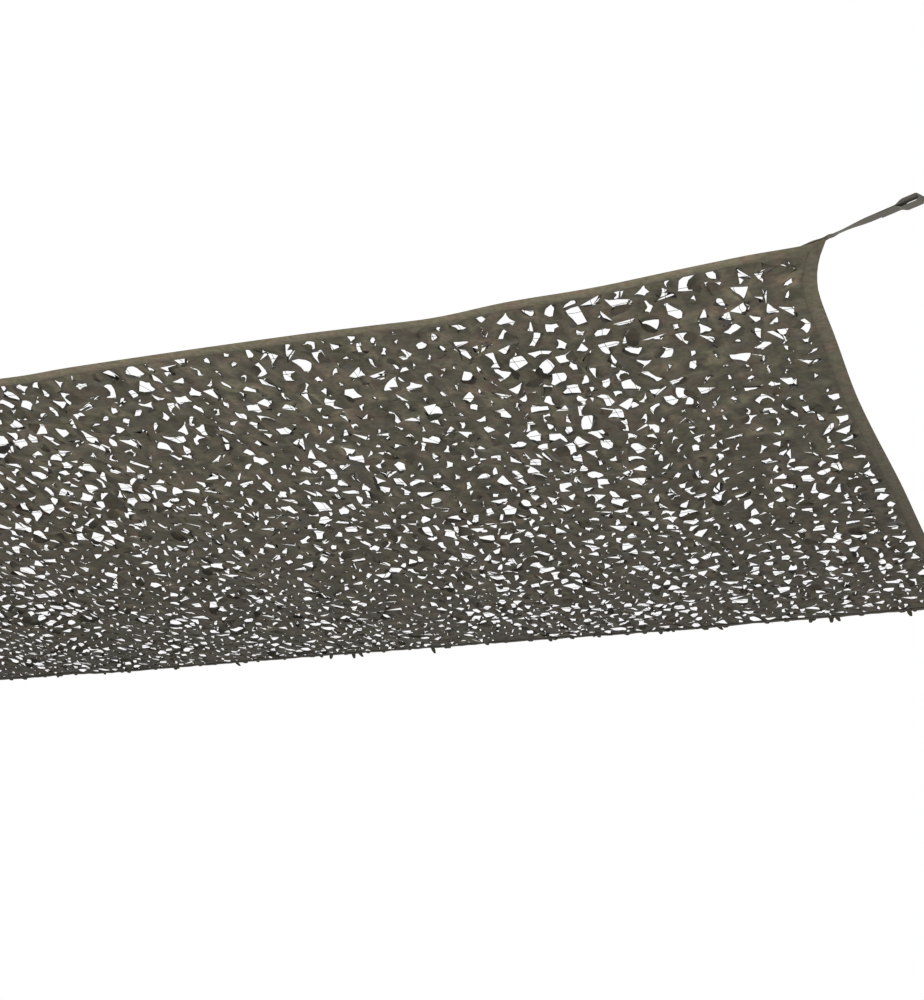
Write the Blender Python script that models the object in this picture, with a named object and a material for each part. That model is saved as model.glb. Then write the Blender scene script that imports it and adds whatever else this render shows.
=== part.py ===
"""Shade sail of leaf-cut net, hung by four corner straps.

Metres, +Z up. The origin is the middle of the near right strap's eye, X runs along the sail's
long side to the right, and Y runs away from the near edge. On the cloth a place is given by
its distance from the near right corner: `left`, along the near edge, and `away`, in depth.
"""

import math

import bmesh
import bpy
from mathutils import Vector, geometry

# Driving sizes of the sail
SAIL_LENGTH = 5.0
SAIL_DEPTH = 3.0
FAR_FALL = 0.244  # the far edge hangs this much lower than the near one
FAR_FLARE = 0.080  # each far corner is pulled this much further out than the near one
MIDDLE_SAG = 0.075  # of the middle below its edges
DISH_FULLNESS = 0.7  # power of the sag's curve along the sail: lower is flatter in the middle
CLOTH_THICK = 0.0020
HEM_THICK = 0.0034
HEM_WIDTH = 0.035

# Corner straps: flat webbing, folded back to an eye
STRAP_WIDTH = 0.025
STRAP_THICK = 0.0018
STRAP_TURN = math.radians(27.0)  # from the long side towards the outside
STRAP_TWIST = math.radians(20.0)  # most turn about its own line, a little past the cloth's tip
TWIST_AT = (0.012, 0.030, 0.046, 0.120)  # distances where it starts, is full, eases and ends
LAP_IN = 0.0090  # of the lap, from the line through the corner and the eye towards the cloth
STRAP_LAP = 0.070  # sewn length on top of the corner
STRAP_RUN = 0.225  # from the cloth's tip to the middle of the eye
EYE_STRAIGHT = 0.030  # length of the eye where its sides are level
EYE_TAPER = 0.022  # where the sides close towards the strap
EYE_RISE = 0.0075  # half the eye's inner height
FOLD_BACK = 0.045  # of the webbing under the strap
SEAT_GAP = 0.0003  # between the strap's layers
LAP_GAP = 0.0006  # between the cloth and the strap, whose facets don't bend at the same places
RUN_STEP = 0.027  # longest step of the webbing along its run
LAP_PARTS = 4  # steps along its lap, along each taper and round its eye
TAPER_PARTS = 3
EYE_FACETS = 5

# Leaf cut of the cloth: one opening to a cell, in columns that are staggered by half a cell
COLUMNS = 84
ROWS = 40
CUT_MARGIN = 0.005  # plain cloth between the hem and the first cells
CELL_WANDER = 0.018  # of the points where cells meet
CELL_BEND = 0.012  # most sideways swing of the rows and columns
BEND_WAVES = (0.61, 0.97, 0.53, 1.10)  # lengths over which they swing
BEND_EASE = 0.10  # from the cut's outline, where they are straight
MEAN_OPENING = 0.0130  # radius of a middling opening
LEAST_OPENING = 0.0052
WIDEST_OPENING = 0.0380
OPENING_STRETCH = 1.25  # in depth
LONG_WAY = math.radians(55.0)  # from the sail's length, in which most openings are longer
LONG_WAY_UNEVEN = math.radians(130.0)
LENGTHENING = 0.80  # most stretch that way and narrowing across it, as a power of e
WEB = 0.0030  # least cloth between an opening and the side of its cell
SHIFT = 0.24  # how far openings wander from the middle of their cells, in cells
LEAST_ROOM = 0.15  # of an opening's reach, in the most crowded cells
OPENINGS_CUT = 292  # the largest ones, cut through in this solid
SPREAD = 1.90  # of the openings' sizes where the cloth isn't drawn open, as a power of e
PATCH_EFFECT = 1.15  # of the openness on their sizes
FEWEST_CORNERS = 3
EXTRA_CORNERS = 2.6  # up to two more, the second one seldom
CORNER_REACH = 1.25  # of a corner to the opening's radius
REACH_UNEVEN = 0.55
TURN_UNEVEN = 0.5  # of the angle between two corners
BORDER = HEM_WIDTH + CUT_MARGIN
CELL_LEFT = (SAIL_LENGTH - 2.0 * BORDER) / COLUMNS
CELL_AWAY = (SAIL_DEPTH - 2.0 * BORDER) / (ROWS + 0.5)
LAST_LINE = 2 * COLUMNS  # lines of points run at each half column and each half row
LAST_HALF_ROW = 2 * ROWS + 1

# Spacing of the points between the openings
STEP_ALONG = 0.125
STEP_DEEP = 0.20
HEM_STEP = 0.006  # over which the hem thins to the cloth
FLARE_STATIONS = (0.0, 0.025, 0.06, 0.11, 0.18, 0.28)  # along an edge from its corner
CLEAR_OF_OPENINGS = 0.045
NORMAL_STEP = 0.002

# How far the taut edges draw in and drop, by the distance from the corner
# (distance, drawn in, dropped)
LONG_EDGE = (
    (0.00, 0.0000, 0.000),
    (0.02, 0.0088, 0.000),
    (0.05, 0.0180, 0.000),
    (0.18, 0.0200, 0.000),
    (0.50, 0.034, 0.007),
    (0.75, 0.036, 0.006),
    (1.00, 0.049, 0.013),
    (1.30, 0.026, 0.007),
    (2.10, 0.010, 0.000),
    (2.50, 0.010, 0.000),
)
SHORT_EDGE = (
    (0.00, -0.0110, 0.000),
    (0.02, -0.0035, 0.000),
    (0.05, 0.0095, 0.000),
    (0.10, 0.0278, 0.000),
    (0.17, 0.0462, 0.002),
    (0.25, 0.0572, 0.004),
    (0.45, 0.064, 0.008),
    (0.85, 0.079, 0.014),
    (1.50, 0.074, 0.018),
)

# Soft folds that run in depth, fading towards the taut corners
FOLD_EASE = 0.35  # length over which a fold fades at its ends
FOLD_REACH = 3.0  # half widths past which a fold is left out of the sum
CORNER_CALM = 0.6  # distance from a corner within which the folds are lower
# (distance left of the right edge, half width, height, start, end, lean per metre of depth)
FOLDS = (
    (0.36, 0.13, 0.010, 0.10, 1.60, 0.05),
    (0.66, 0.15, -0.012, 0.15, 2.40, 0.06),
    (1.06, 0.14, 0.014, 0.05, 2.10, 0.10),
    (1.38, 0.13, -0.009, 0.60, 2.85, 0.04),
    (1.78, 0.15, 0.012, 0.20, 2.00, 0.03),
    (2.13, 0.09, -0.011, 0.05, 2.90, 0.02),
    (2.50, 0.17, 0.013, 0.10, 2.30, 0.05),
    (2.95, 0.16, -0.010, 0.50, 2.80, -0.04),
    (3.36, 0.14, 0.012, 0.20, 2.20, 0.03),
    (3.80, 0.15, -0.012, 0.10, 2.60, -0.05),
    (4.20, 0.14, 0.010, 0.40, 2.90, -0.03),
    (4.62, 0.13, -0.009, 0.15, 2.20, -0.06),
)

# Where the cloth is drawn open (+) or pushed together (-)
PATCH_REACH = 6.0  # squared half sizes past which a patch is left out of the sum
PATCH_SWELL = 0.30  # of the cells in a patch, which push their neighbours together
LEAST_OPENNESS = -0.9
MOST_OPENNESS = 1.4
# (distance left, distance away, half size left, half size away, strength)
PATCHES = (
    (0.30, 0.12, 0.08, 0.10, 0.6),
    (0.30, 0.72, 0.10, 0.10, 0.35),
    (0.24, 1.42, 0.12, 0.12, 0.4),
    (0.17, 2.13, 0.10, 0.08, 0.4),
    (0.17, 2.50, 0.10, 0.10, 0.4),
    (0.62, 2.42, 0.10, 0.14, 0.2),
    (0.76, 0.36, 0.11, 0.14, 0.9),
    (0.70, 0.68, 0.10, 0.14, 1.2),
    (0.82, 0.84, 0.13, 0.10, 1.3),
    (0.95, 0.72, 0.06, 0.10, 0.7),
    (0.87, 1.17, 0.06, 0.12, 0.9),
    (0.77, 1.97, 0.12, 0.10, 0.6),
    (0.95, 2.15, 0.08, 0.10, 0.3),
    (1.12, 2.62, 0.10, 0.10, 0.8),
    (1.23, 1.30, 0.12, 0.10, 0.6),
    (1.26, 0.92, 0.08, 0.12, 0.5),
    (1.30, 2.84, 0.10, 0.07, 0.5),
    (1.33, 1.93, 0.12, 0.14, 0.5),
    (1.37, 0.12, 0.16, 0.08, 1.0),
    (1.40, 2.35, 0.10, 0.12, 0.5),
    (1.50, 0.80, 0.07, 0.14, 0.8),
    (1.60, 1.36, 0.22, 0.07, 0.6),
    (1.62, 0.56, 0.08, 0.10, 0.4),
    (1.67, 1.66, 0.12, 0.10, 0.5),
    (1.70, 2.66, 0.08, 0.12, 0.7),
    (1.83, 2.42, 0.08, 0.14, 1.0),
    (1.87, 1.03, 0.12, 0.10, 0.3),
    (1.93, 0.38, 0.12, 0.10, 0.5),
    (2.24, 0.34, 0.10, 0.20, 1.1),
    (2.28, 0.68, 0.10, 0.14, 1.2),
    (2.42, 0.80, 0.14, 0.09, 1.3),
    (2.60, 1.10, 0.07, 0.13, 0.9),
    (2.60, 1.88, 0.14, 0.08, 0.7),
    (2.62, 0.70, 0.07, 0.10, 1.0),
    (2.70, 2.28, 0.08, 0.14, 0.4),
    (2.78, 1.47, 0.08, 0.08, 0.5),
    (2.78, 2.80, 0.06, 0.10, 0.4),
    (3.00, 2.10, 0.07, 0.12, 0.5),
    (3.13, 1.30, 0.10, 0.14, 0.5),
    (3.20, 0.60, 0.20, 0.16, 0.6),
    (3.27, 1.65, 0.12, 0.12, 0.4),
    (3.30, 2.62, 0.12, 0.12, 0.8),
    (3.43, 1.94, 0.14, 0.12, 0.8),
    (3.70, 2.36, 0.10, 0.12, 0.8),
    (3.70, 2.80, 0.10, 0.08, 0.5),
    (3.90, 0.90, 0.14, 0.22, 0.8),
    (4.15, 1.60, 0.12, 0.12, 0.6),
    (4.20, 2.62, 0.12, 0.12, 0.8),
    (4.40, 0.45, 0.16, 0.14, 0.7),
    (4.60, 1.95, 0.12, 0.16, 0.6),
    (0.17, 0.56, 0.16, 0.12, -0.9),
    (0.20, 1.68, 0.14, 0.14, -0.6),
    (0.28, 2.88, 0.10, 0.10, -0.4),
    (0.43, 1.24, 0.10, 0.12, -0.6),
    (0.42, 0.84, 0.10, 0.22, -0.8),
    (0.45, 2.10, 0.08, 0.20, -0.3),
    (0.87, 2.60, 0.07, 0.24, -0.6),
    (1.05, 0.14, 0.12, 0.08, -0.6),
    (1.10, 0.50, 0.10, 0.12, -0.3),
    (1.13, 2.25, 0.08, 0.16, -0.8),
    (1.33, 0.62, 0.10, 0.10, -0.5),
    (1.80, 0.72, 0.06, 0.15, -0.3),
    (1.85, 2.88, 0.16, 0.08, -0.9),
    (2.00, 1.90, 0.08, 0.30, -0.7),
    (2.00, 2.45, 0.06, 0.30, -0.6),
    (2.05, 0.62, 0.07, 0.16, -0.6),
    (2.25, 1.22, 0.14, 0.12, -0.4),
    (2.25, 1.70, 0.12, 0.15, -0.5),
    (2.60, 2.60, 0.10, 0.08, -0.4),
    (2.98, 1.50, 0.10, 0.12, -0.4),
    (3.00, 2.62, 0.05, 0.24, -0.8),
    (3.22, 2.14, 0.12, 0.14, -0.9),
    (3.38, 2.32, 0.08, 0.08, -0.5),
    (3.50, 1.10, 0.14, 0.20, -0.5),
    (3.80, 2.10, 0.10, 0.08, -0.5),
    (4.40, 2.86, 0.24, 0.10, -0.9),
    (4.60, 1.10, 0.14, 0.30, -0.6),
)

TIP_LEFT = STRAP_RUN * math.cos(STRAP_TURN)
TIP_AWAY = STRAP_RUN * math.sin(STRAP_TURN)


# Shape of the hung sail


def along_table(table, distance, column):
    """Read a smooth curve through one column of a table, level at its last row."""
    last = len(table) - 1
    distance = min(max(distance, table[0][0]), table[last][0])
    row = next(k for k in range(last) if distance <= table[k + 1][0])
    here, there = table[row], table[row + 1]
    width = there[0] - here[0]

    def slope(k):
        if k == last:
            return 0.0
        low, high = table[max(k - 1, 0)], table[k + 1]
        return (high[column] - low[column]) / (high[0] - low[0])

    f = (distance - here[0]) / width
    ease = f * f * (3.0 - 2.0 * f)
    leaving = f * (1.0 - f) ** 2 * width * slope(row)
    coming = f * f * (1.0 - f) * width * slope(row + 1)
    return here[column] + ease * (there[column] - here[column]) + leaving - coming


def edge_value(table, place, length, column):
    """The same from both corners of an edge."""
    return along_table(table, min(place, length - place), column)


def plan(share_left, share_away):
    """Distances left and away of a place on the cloth given by its shares of the two sides."""
    straight_left = share_left * SAIL_LENGTH
    straight_away = share_away * SAIL_DEPTH
    side_in = edge_value(SHORT_EDGE, straight_away, SAIL_DEPTH, 1) - FAR_FLARE * share_away
    long_in = edge_value(LONG_EDGE, straight_left, SAIL_LENGTH, 1)
    left = side_in + share_left * (SAIL_LENGTH - 2.0 * side_in)
    away = long_in + share_away * (SAIL_DEPTH - 2.0 * long_in)
    return left, away


def smooth(share):
    """Ease from 0 to 1 as the share goes from 0 to 1."""
    share = min(max(share, 0.0), 1.0)
    return share * share * (3.0 - 2.0 * share)


def soft_window(place, start, end):
    """1 between start and end, easing to 0 outside them."""
    rise = smooth((place - start) / FOLD_EASE + 0.5)
    return rise * smooth((end - place) / FOLD_EASE + 0.5)


def height(left, away):
    """Height of the middle of the cloth above the near right corner."""
    share_left = min(max(left / SAIL_LENGTH, 0.0), 1.0)
    share_away = min(max(away / SAIL_DEPTH, 0.0), 1.0)
    dish = math.sin(math.pi * share_left) ** DISH_FULLNESS * math.sin(math.pi * share_away)
    long_drop = edge_value(LONG_EDGE, share_left * SAIL_LENGTH, SAIL_LENGTH, 2)
    side_drop = edge_value(SHORT_EDGE, share_away * SAIL_DEPTH, SAIL_DEPTH, 2)
    near_side = (1.0 - share_away) ** 2 + share_away**2
    right_side = (1.0 - share_left) ** 4 + share_left**4
    level = -FAR_FALL * away / SAIL_DEPTH - MIDDLE_SAG * dish
    level -= long_drop * near_side + side_drop * right_side
    from_side = min(left, SAIL_LENGTH - left)
    from_edge = min(away, SAIL_DEPTH - away)
    calm = min(math.hypot(from_side, from_edge) / CORNER_CALM, 1.0)
    for fold_left, half_width, rise, start, end, lean in FOLDS:
        off = (left - fold_left - lean * (away - start)) / half_width
        if abs(off) < FOLD_REACH:
            level += rise * calm * math.exp(-off * off) * soft_window(away, start, end)
    return level


def placed(left, away, lift=0.0):
    """The point in the part's own frame, lifted from the middle of the cloth along its normal."""
    level = height(left, away)
    slope_left = (height(left + NORMAL_STEP, away) - level) / NORMAL_STEP
    slope_away = (height(left, away + NORMAL_STEP) - level) / NORMAL_STEP
    normal = Vector((slope_left, -slope_away, 1.0)).normalized()
    return Vector((-TIP_LEFT - left, TIP_AWAY + away, level)) + normal * lift


# Openings of the leaf cut


def chance(column, row, use):
    """A repeatable number from 0 to 1 for one use in one cell."""
    wave = math.sin(column * 127.1 + row * 311.7 + use * 74.7) * 43758.5453
    return wave - math.floor(wave)


def pulls(left, away):
    """Each patch's pull at a place, with how far left and away of its middle the place is."""
    for patch_left, patch_away, size_left, size_away, strength in PATCHES:
        run_left, run_away = left - patch_left, away - patch_away
        off = (run_left / size_left) ** 2 + (run_away / size_away) ** 2
        if off < PATCH_REACH:
            yield strength * math.exp(-off), run_left, run_away


def openness(left, away):
    """How much wider or closer the openings stand at a place."""
    total = sum(pull for pull, _, _ in pulls(left, away))
    return min(max(total, LEAST_OPENNESS), MOST_OPENNESS)


def lattice_place(line, half_row):
    """Distances left and away of a point where the sides of cells meet."""
    left, away = BORDER + 0.5 * line * CELL_LEFT, BORDER + 0.5 * half_row * CELL_AWAY
    from_outline = min(left, SAIL_LENGTH - left, away, SAIL_DEPTH - away) - BORDER
    if from_outline > CELL_WANDER:
        ease = smooth(from_outline / BEND_EASE)
        bend = CELL_BEND * ease
        waves = [2.0 * math.pi / length for length in BEND_WAVES]
        swing_left = bend * math.sin(away * waves[0] + left * waves[1])
        swing_away = bend * math.sin(left * waves[2] - away * waves[3])
        for pull, run_left, run_away in pulls(left, away):
            swing_left += PATCH_SWELL * ease * pull * run_left
            swing_away += PATCH_SWELL * ease * pull * run_away
        left += swing_left + CELL_WANDER * (chance(line, half_row, 50) - 0.5)
        away += swing_away + CELL_WANDER * (chance(line, half_row, 51) - 0.5)
    return plan(left / SAIL_LENGTH, away / SAIL_DEPTH)


def cell_points(column, row):
    """Lines and half rows of the eight points round a cell."""
    line, near = 2 * column, 2 * row + column % 2
    steps = ((0, 0), (1, 0), (2, 0), (2, 1), (2, 2), (1, 2), (0, 2), (0, 1))
    return [(line + a, near + b) for a, b in steps]


def reach_to_ring(centre, point, ring):
    """How far a ring is from the centre in a point's direction, in distances to the point."""
    run_left, run_away = point[0] - centre[0], point[1] - centre[1]
    reach = math.inf
    for start, end in zip(ring, ring[1:] + ring[:1]):
        side_left, side_away = end[0] - start[0], end[1] - start[1]
        to_left, to_away = start[0] - centre[0], start[1] - centre[1]
        cross = run_left * side_away - run_away * side_left
        if cross == 0.0:
            continue
        along = (to_left * side_away - to_away * side_left) / cross
        across = (to_left * run_away - to_away * run_left) / cross
        if along > 0.0 and 0.0 <= across <= 1.0:
            reach = min(reach, along)
    return reach


def opening(column, row):
    """Centre and corners, as distances left and away, of one cell's opening."""
    border = [lattice_place(*point) for point in cell_points(column, row)]
    lefts, aways = zip(*border)
    shift_left = SHIFT * (max(lefts) - min(lefts)) * (chance(column, row, 1) - 0.5)
    shift_away = SHIFT * (max(aways) - min(aways)) * (chance(column, row, 2) - 0.5)
    left = sum(lefts) / len(border) + shift_left
    away = sum(aways) / len(border) + shift_away
    centre = (left, away)
    drawn = openness(left, away)
    evenness = 1.0 + max(drawn, 0.0)
    spread = SPREAD / evenness * (chance(column, row, 3) + chance(column, row, 4) - 1.0)
    radius = MEAN_OPENING * math.exp(spread) * (1.0 + PATCH_EFFECT * drawn)
    radius = min(max(radius, LEAST_OPENING), WIDEST_OPENING)
    corners = FEWEST_CORNERS + int(chance(column, row, 5) * EXTRA_CORNERS)
    turn = 2.0 * math.pi * chance(column, row, 6)
    long_way = LONG_WAY + LONG_WAY_UNEVEN * (chance(column, row, 7) - 0.5)
    stretch = math.exp(LENGTHENING / evenness * chance(column, row, 8))
    shape = []
    for k in range(corners):
        uneven = TURN_UNEVEN * (chance(column, row, 10 + k) - 0.5)
        angle = turn + 2.0 * math.pi * (k + uneven) / corners
        reach = CORNER_REACH * radius * (1.0 + REACH_UNEVEN * (chance(column, row, 20 + k) - 0.5))
        along = reach * stretch * math.cos(angle)
        across = reach / stretch * math.sin(angle)
        run_left = along * math.cos(long_way) - across * math.sin(long_way)
        run_away = along * math.sin(long_way) + across * math.cos(long_way)
        run_away *= OPENING_STRETCH
        point = (left + run_left, away + run_away)
        room = reach_to_ring(centre, point, border) - WEB / math.hypot(run_left, run_away)
        share = min(max(room, LEAST_ROOM), 1.0)
        shape.append((left + share * run_left, away + share * run_away))
    size = 1.0
    for point in border:
        inside = max(1.0 - WEB / math.dist(centre, point), LEAST_ROOM)
        size = min(size, inside / reach_to_ring(centre, point, shape))
    return centre, [(left + size * (a - left), away + size * (b - away)) for a, b in shape]


def size_of(points):
    """Area inside a ring of points, in square metres."""
    turned = points[1:] + points[:1]
    return 0.5 * abs(sum(a[0] * b[1] - b[0] * a[1] for a, b in zip(points, turned)))


def is_inside(place, ring):
    """Whether a place is inside a ring of points."""
    crossings = 0
    for (left, away), (next_left, next_away) in zip(ring, ring[1:] + ring[:1]):
        if (away > place[1]) != (next_away > place[1]):
            share = (place[1] - away) / (next_away - away)
            crossings += left + share * (next_left - left) > place[0]
    return crossings % 2 == 1


def largest_openings():
    """The rings of the largest openings, for cutting through."""
    rings = [opening(column, row)[1] for column in range(COLUMNS) for row in range(ROWS)]
    rings.sort(key=size_of, reverse=True)
    return rings[:OPENINGS_CUT]


# Solids


def material(name, colour, roughness):
    """Cloth colour and roughness on a Principled shader."""
    made = bpy.data.materials.new(name)
    made.use_nodes = True
    shader = made.node_tree.nodes["Principled BSDF"]
    shader.inputs["Base Color"].default_value = (*colour, 1.0)
    shader.inputs["Roughness"].default_value = roughness
    shader.inputs["Metallic"].default_value = 0.0
    return made


def add_object(name, mesh_data, finish, smooth=True):
    """Turn a bmesh into a named object with its material."""
    mesh = bpy.data.meshes.new(name)
    mesh_data.to_mesh(mesh)
    mesh_data.free()
    mesh.materials.append(finish)
    made = bpy.data.objects.new(name, mesh)
    bpy.context.collection.objects.link(made)
    if smooth:
        mesh.shade_smooth()
        mesh.set_sharp_from_angle(angle=math.radians(40.0))
    return made


def side_stations(length, step):
    """Distances along an edge: close together where it flares at the corners, even between."""
    start = FLARE_STATIONS[-1]
    inner = length - 2.0 * start
    count = round(inner / step)
    even = [start + inner * k / count for k in range(1, count)]
    return [*FLARE_STATIONS, *even, *(length - d for d in reversed(FLARE_STATIONS))]


def cloth_ring(inset, step):
    """Places round the cloth at a distance in from its edge."""
    share_left = inset / SAIL_LENGTH
    share_away = inset / SAIL_DEPTH
    along = [d / SAIL_LENGTH for d in side_stations(SAIL_LENGTH, step)]
    deep = [d / SAIL_DEPTH for d in side_stations(SAIL_DEPTH, step)]
    along = [share_left + s * (1.0 - 2.0 * share_left) for s in along]
    deep = [share_away + s * (1.0 - 2.0 * share_away) for s in deep]
    ring = [(s, share_away) for s in along[:-1]]
    ring += [(1.0 - share_left, s) for s in deep[:-1]]
    ring += [(s, 1.0 - share_away) for s in reversed(along[1:])]
    ring += [(share_left, s) for s in reversed(deep[1:])]
    return [plan(*shares) for shares in ring]


def clear_of(point, rings, gap):
    """Whether a place is at least a gap away from the middle of every opening."""
    return all((point[0] - r[0]) ** 2 + (point[1] - r[1]) ** 2 > gap * gap for r in rings)


def build_net_sail(finish):
    """The cut cloth with its thicker hem, as one closed sheet."""
    rings = largest_openings()
    middles = [(sum(p[0] for p in r) / len(r), sum(p[1] for p in r) / len(r)) for r in rings]
    edge = cloth_ring(0.0, STEP_ALONG)
    hem_line = cloth_ring(HEM_WIDTH, STEP_ALONG)
    cloth_line = cloth_ring(HEM_WIDTH + HEM_STEP, STEP_ALONG)

    places = []
    lifts = []
    loops = []

    def add_loop(points, lift):
        first = len(places)
        places.extend(points)
        lifts.extend([lift] * len(points))
        loops.append(list(range(first, len(places))))

    add_loop(edge, HEM_THICK / 2.0)
    add_loop(hem_line, HEM_THICK / 2.0)
    add_loop(cloth_line, CLOTH_THICK / 2.0)
    for ring in rings:
        add_loop(ring, CLOTH_THICK / 2.0)
    inset = HEM_WIDTH + HEM_STEP
    for row in range(1, round(SAIL_DEPTH / STEP_DEEP)):
        for column in range(1, round(SAIL_LENGTH / STEP_ALONG)):
            share_left = column * STEP_ALONG / SAIL_LENGTH
            share_away = row * STEP_DEEP / SAIL_DEPTH
            inside = min(share_left, 1.0 - share_left) * SAIL_LENGTH > inset * 2.0
            point = plan(share_left, share_away)
            if inside and clear_of(point, middles, CLEAR_OF_OPENINGS):
                places.append(point)
                lifts.append(CLOTH_THICK / 2.0)

    flat = [Vector(p) for p in places]
    creases = [(a, b) for loop in loops[1:] for a, b in zip(loop, loop[1:] + loop[:1])]
    spots, _, triangles, sources, _, _ = geometry.delaunay_2d_cdt(flat, creases, [loops[0]], 1, 1e-7)
    if len(spots) != len(places):
        raise RuntimeError("openings cross each other or the hem")
    ring_of = {index: ring for ring, loop in enumerate(loops[3:]) for index in loop}

    cloth = bmesh.new()
    upper = [cloth.verts.new(placed(*place, lift)) for place, lift in zip(places, lifts)]
    lower = [cloth.verts.new(placed(*place, -lift)) for place, lift in zip(places, lifts)]
    for corners in triangles:
        a, b, c = (sources[corner][0] for corner in corners)
        if ring_of.get(a, -1) == ring_of.get(b, -2) == ring_of.get(c, -3):
            middle = [sum(places[corner][k] for corner in (a, b, c)) / 3.0 for k in (0, 1)]
            if is_inside(middle, rings[ring_of[a]]):
                continue
        cloth.faces.new((upper[a], upper[b], upper[c]))
        cloth.faces.new((lower[c], lower[b], lower[a]))
    for loop in [loops[0], *loops[3:]]:
        for a, b in zip(loop, loop[1:] + loop[:1]):
            cloth.faces.new((upper[a], upper[b], lower[b], lower[a]))
    bmesh.ops.recalc_face_normals(cloth, faces=cloth.faces)
    return add_object("net_sail", cloth, finish)


def strap_stations():
    """Middle line of the webbing from the lap, round the eye and back.

    Each row is the distance outwards from the tip, the height and the direction that the
    webbing's outer side faces, all in the plane that stands along the strap.
    """
    up, down = math.pi / 2.0, -math.pi / 2.0
    drop = STRAP_THICK + SEAT_GAP
    radius = EYE_RISE + STRAP_THICK / 2.0
    middle = -drop / 2.0
    taper_start = STRAP_RUN - EYE_STRAIGHT / 2.0 - EYE_TAPER
    eye_end = STRAP_RUN + EYE_STRAIGHT / 2.0
    path = [(-STRAP_LAP * (1.0 - k / LAP_PARTS), 0.0, up) for k in range(LAP_PARTS)]
    stops = (0.0, *TWIST_AT, taper_start)
    for start, end in zip(stops, stops[1:]):
        parts = math.ceil((end - start) / RUN_STEP)
        path += [(start + (end - start) * k / parts, 0.0, up) for k in range(parts)]
    path.append((taper_start, 0.0, up))
    for k in range(1, TAPER_PARTS + 1):
        ease = 0.5 - 0.5 * math.cos(math.pi * k / TAPER_PARTS)
        path.append((taper_start + EYE_TAPER * k / TAPER_PARTS, ease * (middle + radius), up))
    path.append((eye_end, middle + radius, up))
    for facet in range(1, EYE_FACETS):
        turn = up - math.pi * facet / EYE_FACETS
        path.append((eye_end + radius * math.cos(turn), middle + radius * math.sin(turn), turn))
    path.append((eye_end, middle - radius, down))
    for k in range(TAPER_PARTS + 1):
        ease = 0.5 - 0.5 * math.cos(math.pi * k / TAPER_PARTS)
        level = (middle - radius) + ease * (radius + middle)
        path.append((eye_end - EYE_STRAIGHT - EYE_TAPER * k / TAPER_PARTS, level, down))
    path += [(taper_start - FOLD_BACK * k / 2.0, -drop, down) for k in (1, 2)]
    return path


def strap_twist(distance):
    """Turn of the webbing about its own line at a distance out from the cloth's tip."""
    start, full, easing, end = TWIST_AT
    rise = smooth((distance - start) / (full - start))
    return STRAP_TWIST * rise * smooth((end - distance) / (end - easing))


def build_strap(name, tip_left, tip_away, finish):
    """One strap of flat webbing on a corner's top, out along its own line and round the eye."""
    side_x = 1.0 if tip_left < SAIL_LENGTH / 2.0 else -1.0
    side_y = -1.0 if tip_away == 0.0 else 1.0
    outwards = Vector((side_x * math.cos(STRAP_TURN), side_y * math.sin(STRAP_TURN), 0.0))
    across = Vector((-outwards.y, outwards.x, 0.0))
    tip_level = height(tip_left, tip_away)
    tip = Vector((-TIP_LEFT - tip_left, TIP_AWAY + tip_away, 0.0))
    seat = HEM_THICK / 2.0 + LAP_GAP + STRAP_THICK / 2.0
    eye_level = (STRAP_THICK + SEAT_GAP) / 2.0
    inwards = -side_x * side_y

    webbing = bmesh.new()
    sections = []
    for distance, rise, facing in strap_stations():
        section = []
        share = min(max(distance / STRAP_RUN, 0.0), 1.0)
        ease = smooth(share)
        twist = inwards * strap_twist(distance)
        shift = inwards * LAP_IN * (1.0 - share)
        for half in (-STRAP_WIDTH / 2.0, STRAP_WIDTH / 2.0):
            spot = tip + outwards * distance + across * (shift + half)
            if distance <= 0.0:
                level = height(-TIP_LEFT - spot.x, spot.y - TIP_AWAY) + seat
            else:
                level = tip_level + seat + ease * (eye_level - seat) + half * math.tan(twist)
            for side in (STRAP_THICK / 2.0, -STRAP_THICK / 2.0):
                reach = outwards * (side * math.cos(facing))
                lift = Vector((0.0, 0.0, level + rise + side * math.sin(facing)))
                section.append(webbing.verts.new(spot + reach + lift))
        sections.append(section)
    for near, far in zip(sections, sections[1:]):
        for a, b in ((0, 1), (1, 3), (3, 2), (2, 0)):
            webbing.faces.new((near[a], near[b], far[b], far[a]))
    for end in (sections[0], sections[-1]):
        webbing.faces.new((end[0], end[1], end[3], end[2]))
    bmesh.ops.recalc_face_normals(webbing, faces=webbing.faces)
    return add_object(name, webbing, finish)


def main():
    for old in list(bpy.data.objects):
        bpy.data.objects.remove(old)
    cloth = material("leaf_cut_polyester_net", (0.100, 0.090, 0.068), 0.85)
    webbing = material("polyester_webbing", (0.110, 0.105, 0.078), 0.75)
    build_net_sail(cloth)
    for side, share_left in (("right", 0.0), ("left", 1.0)):
        for edge, share_away in (("near", 0.0), ("far", 1.0)):
            flare = FAR_FLARE * share_away * (2.0 * share_left - 1.0)
            tip_left = share_left * SAIL_LENGTH + flare
            build_strap(f"strap_{edge}_{side}", tip_left, share_away * SAIL_DEPTH, webbing)


main()
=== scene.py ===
"""Shade sail of leaf-cut net, hung by four corner straps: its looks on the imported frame.

Metres, +Z up. The origin is the middle of the near right strap's eye, X runs along the sail's
long side to the right, and Y runs away from the near edge. On the cloth a place is given by
its distance from the near right corner: `left`, along the near edge, and `away`, in depth.
The sizes, tables and shape functions down to the openings are those of the part's source, but
the straps are finer here, lie a little further in and are gathered where they leave the cloth.
"""

import math

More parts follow.
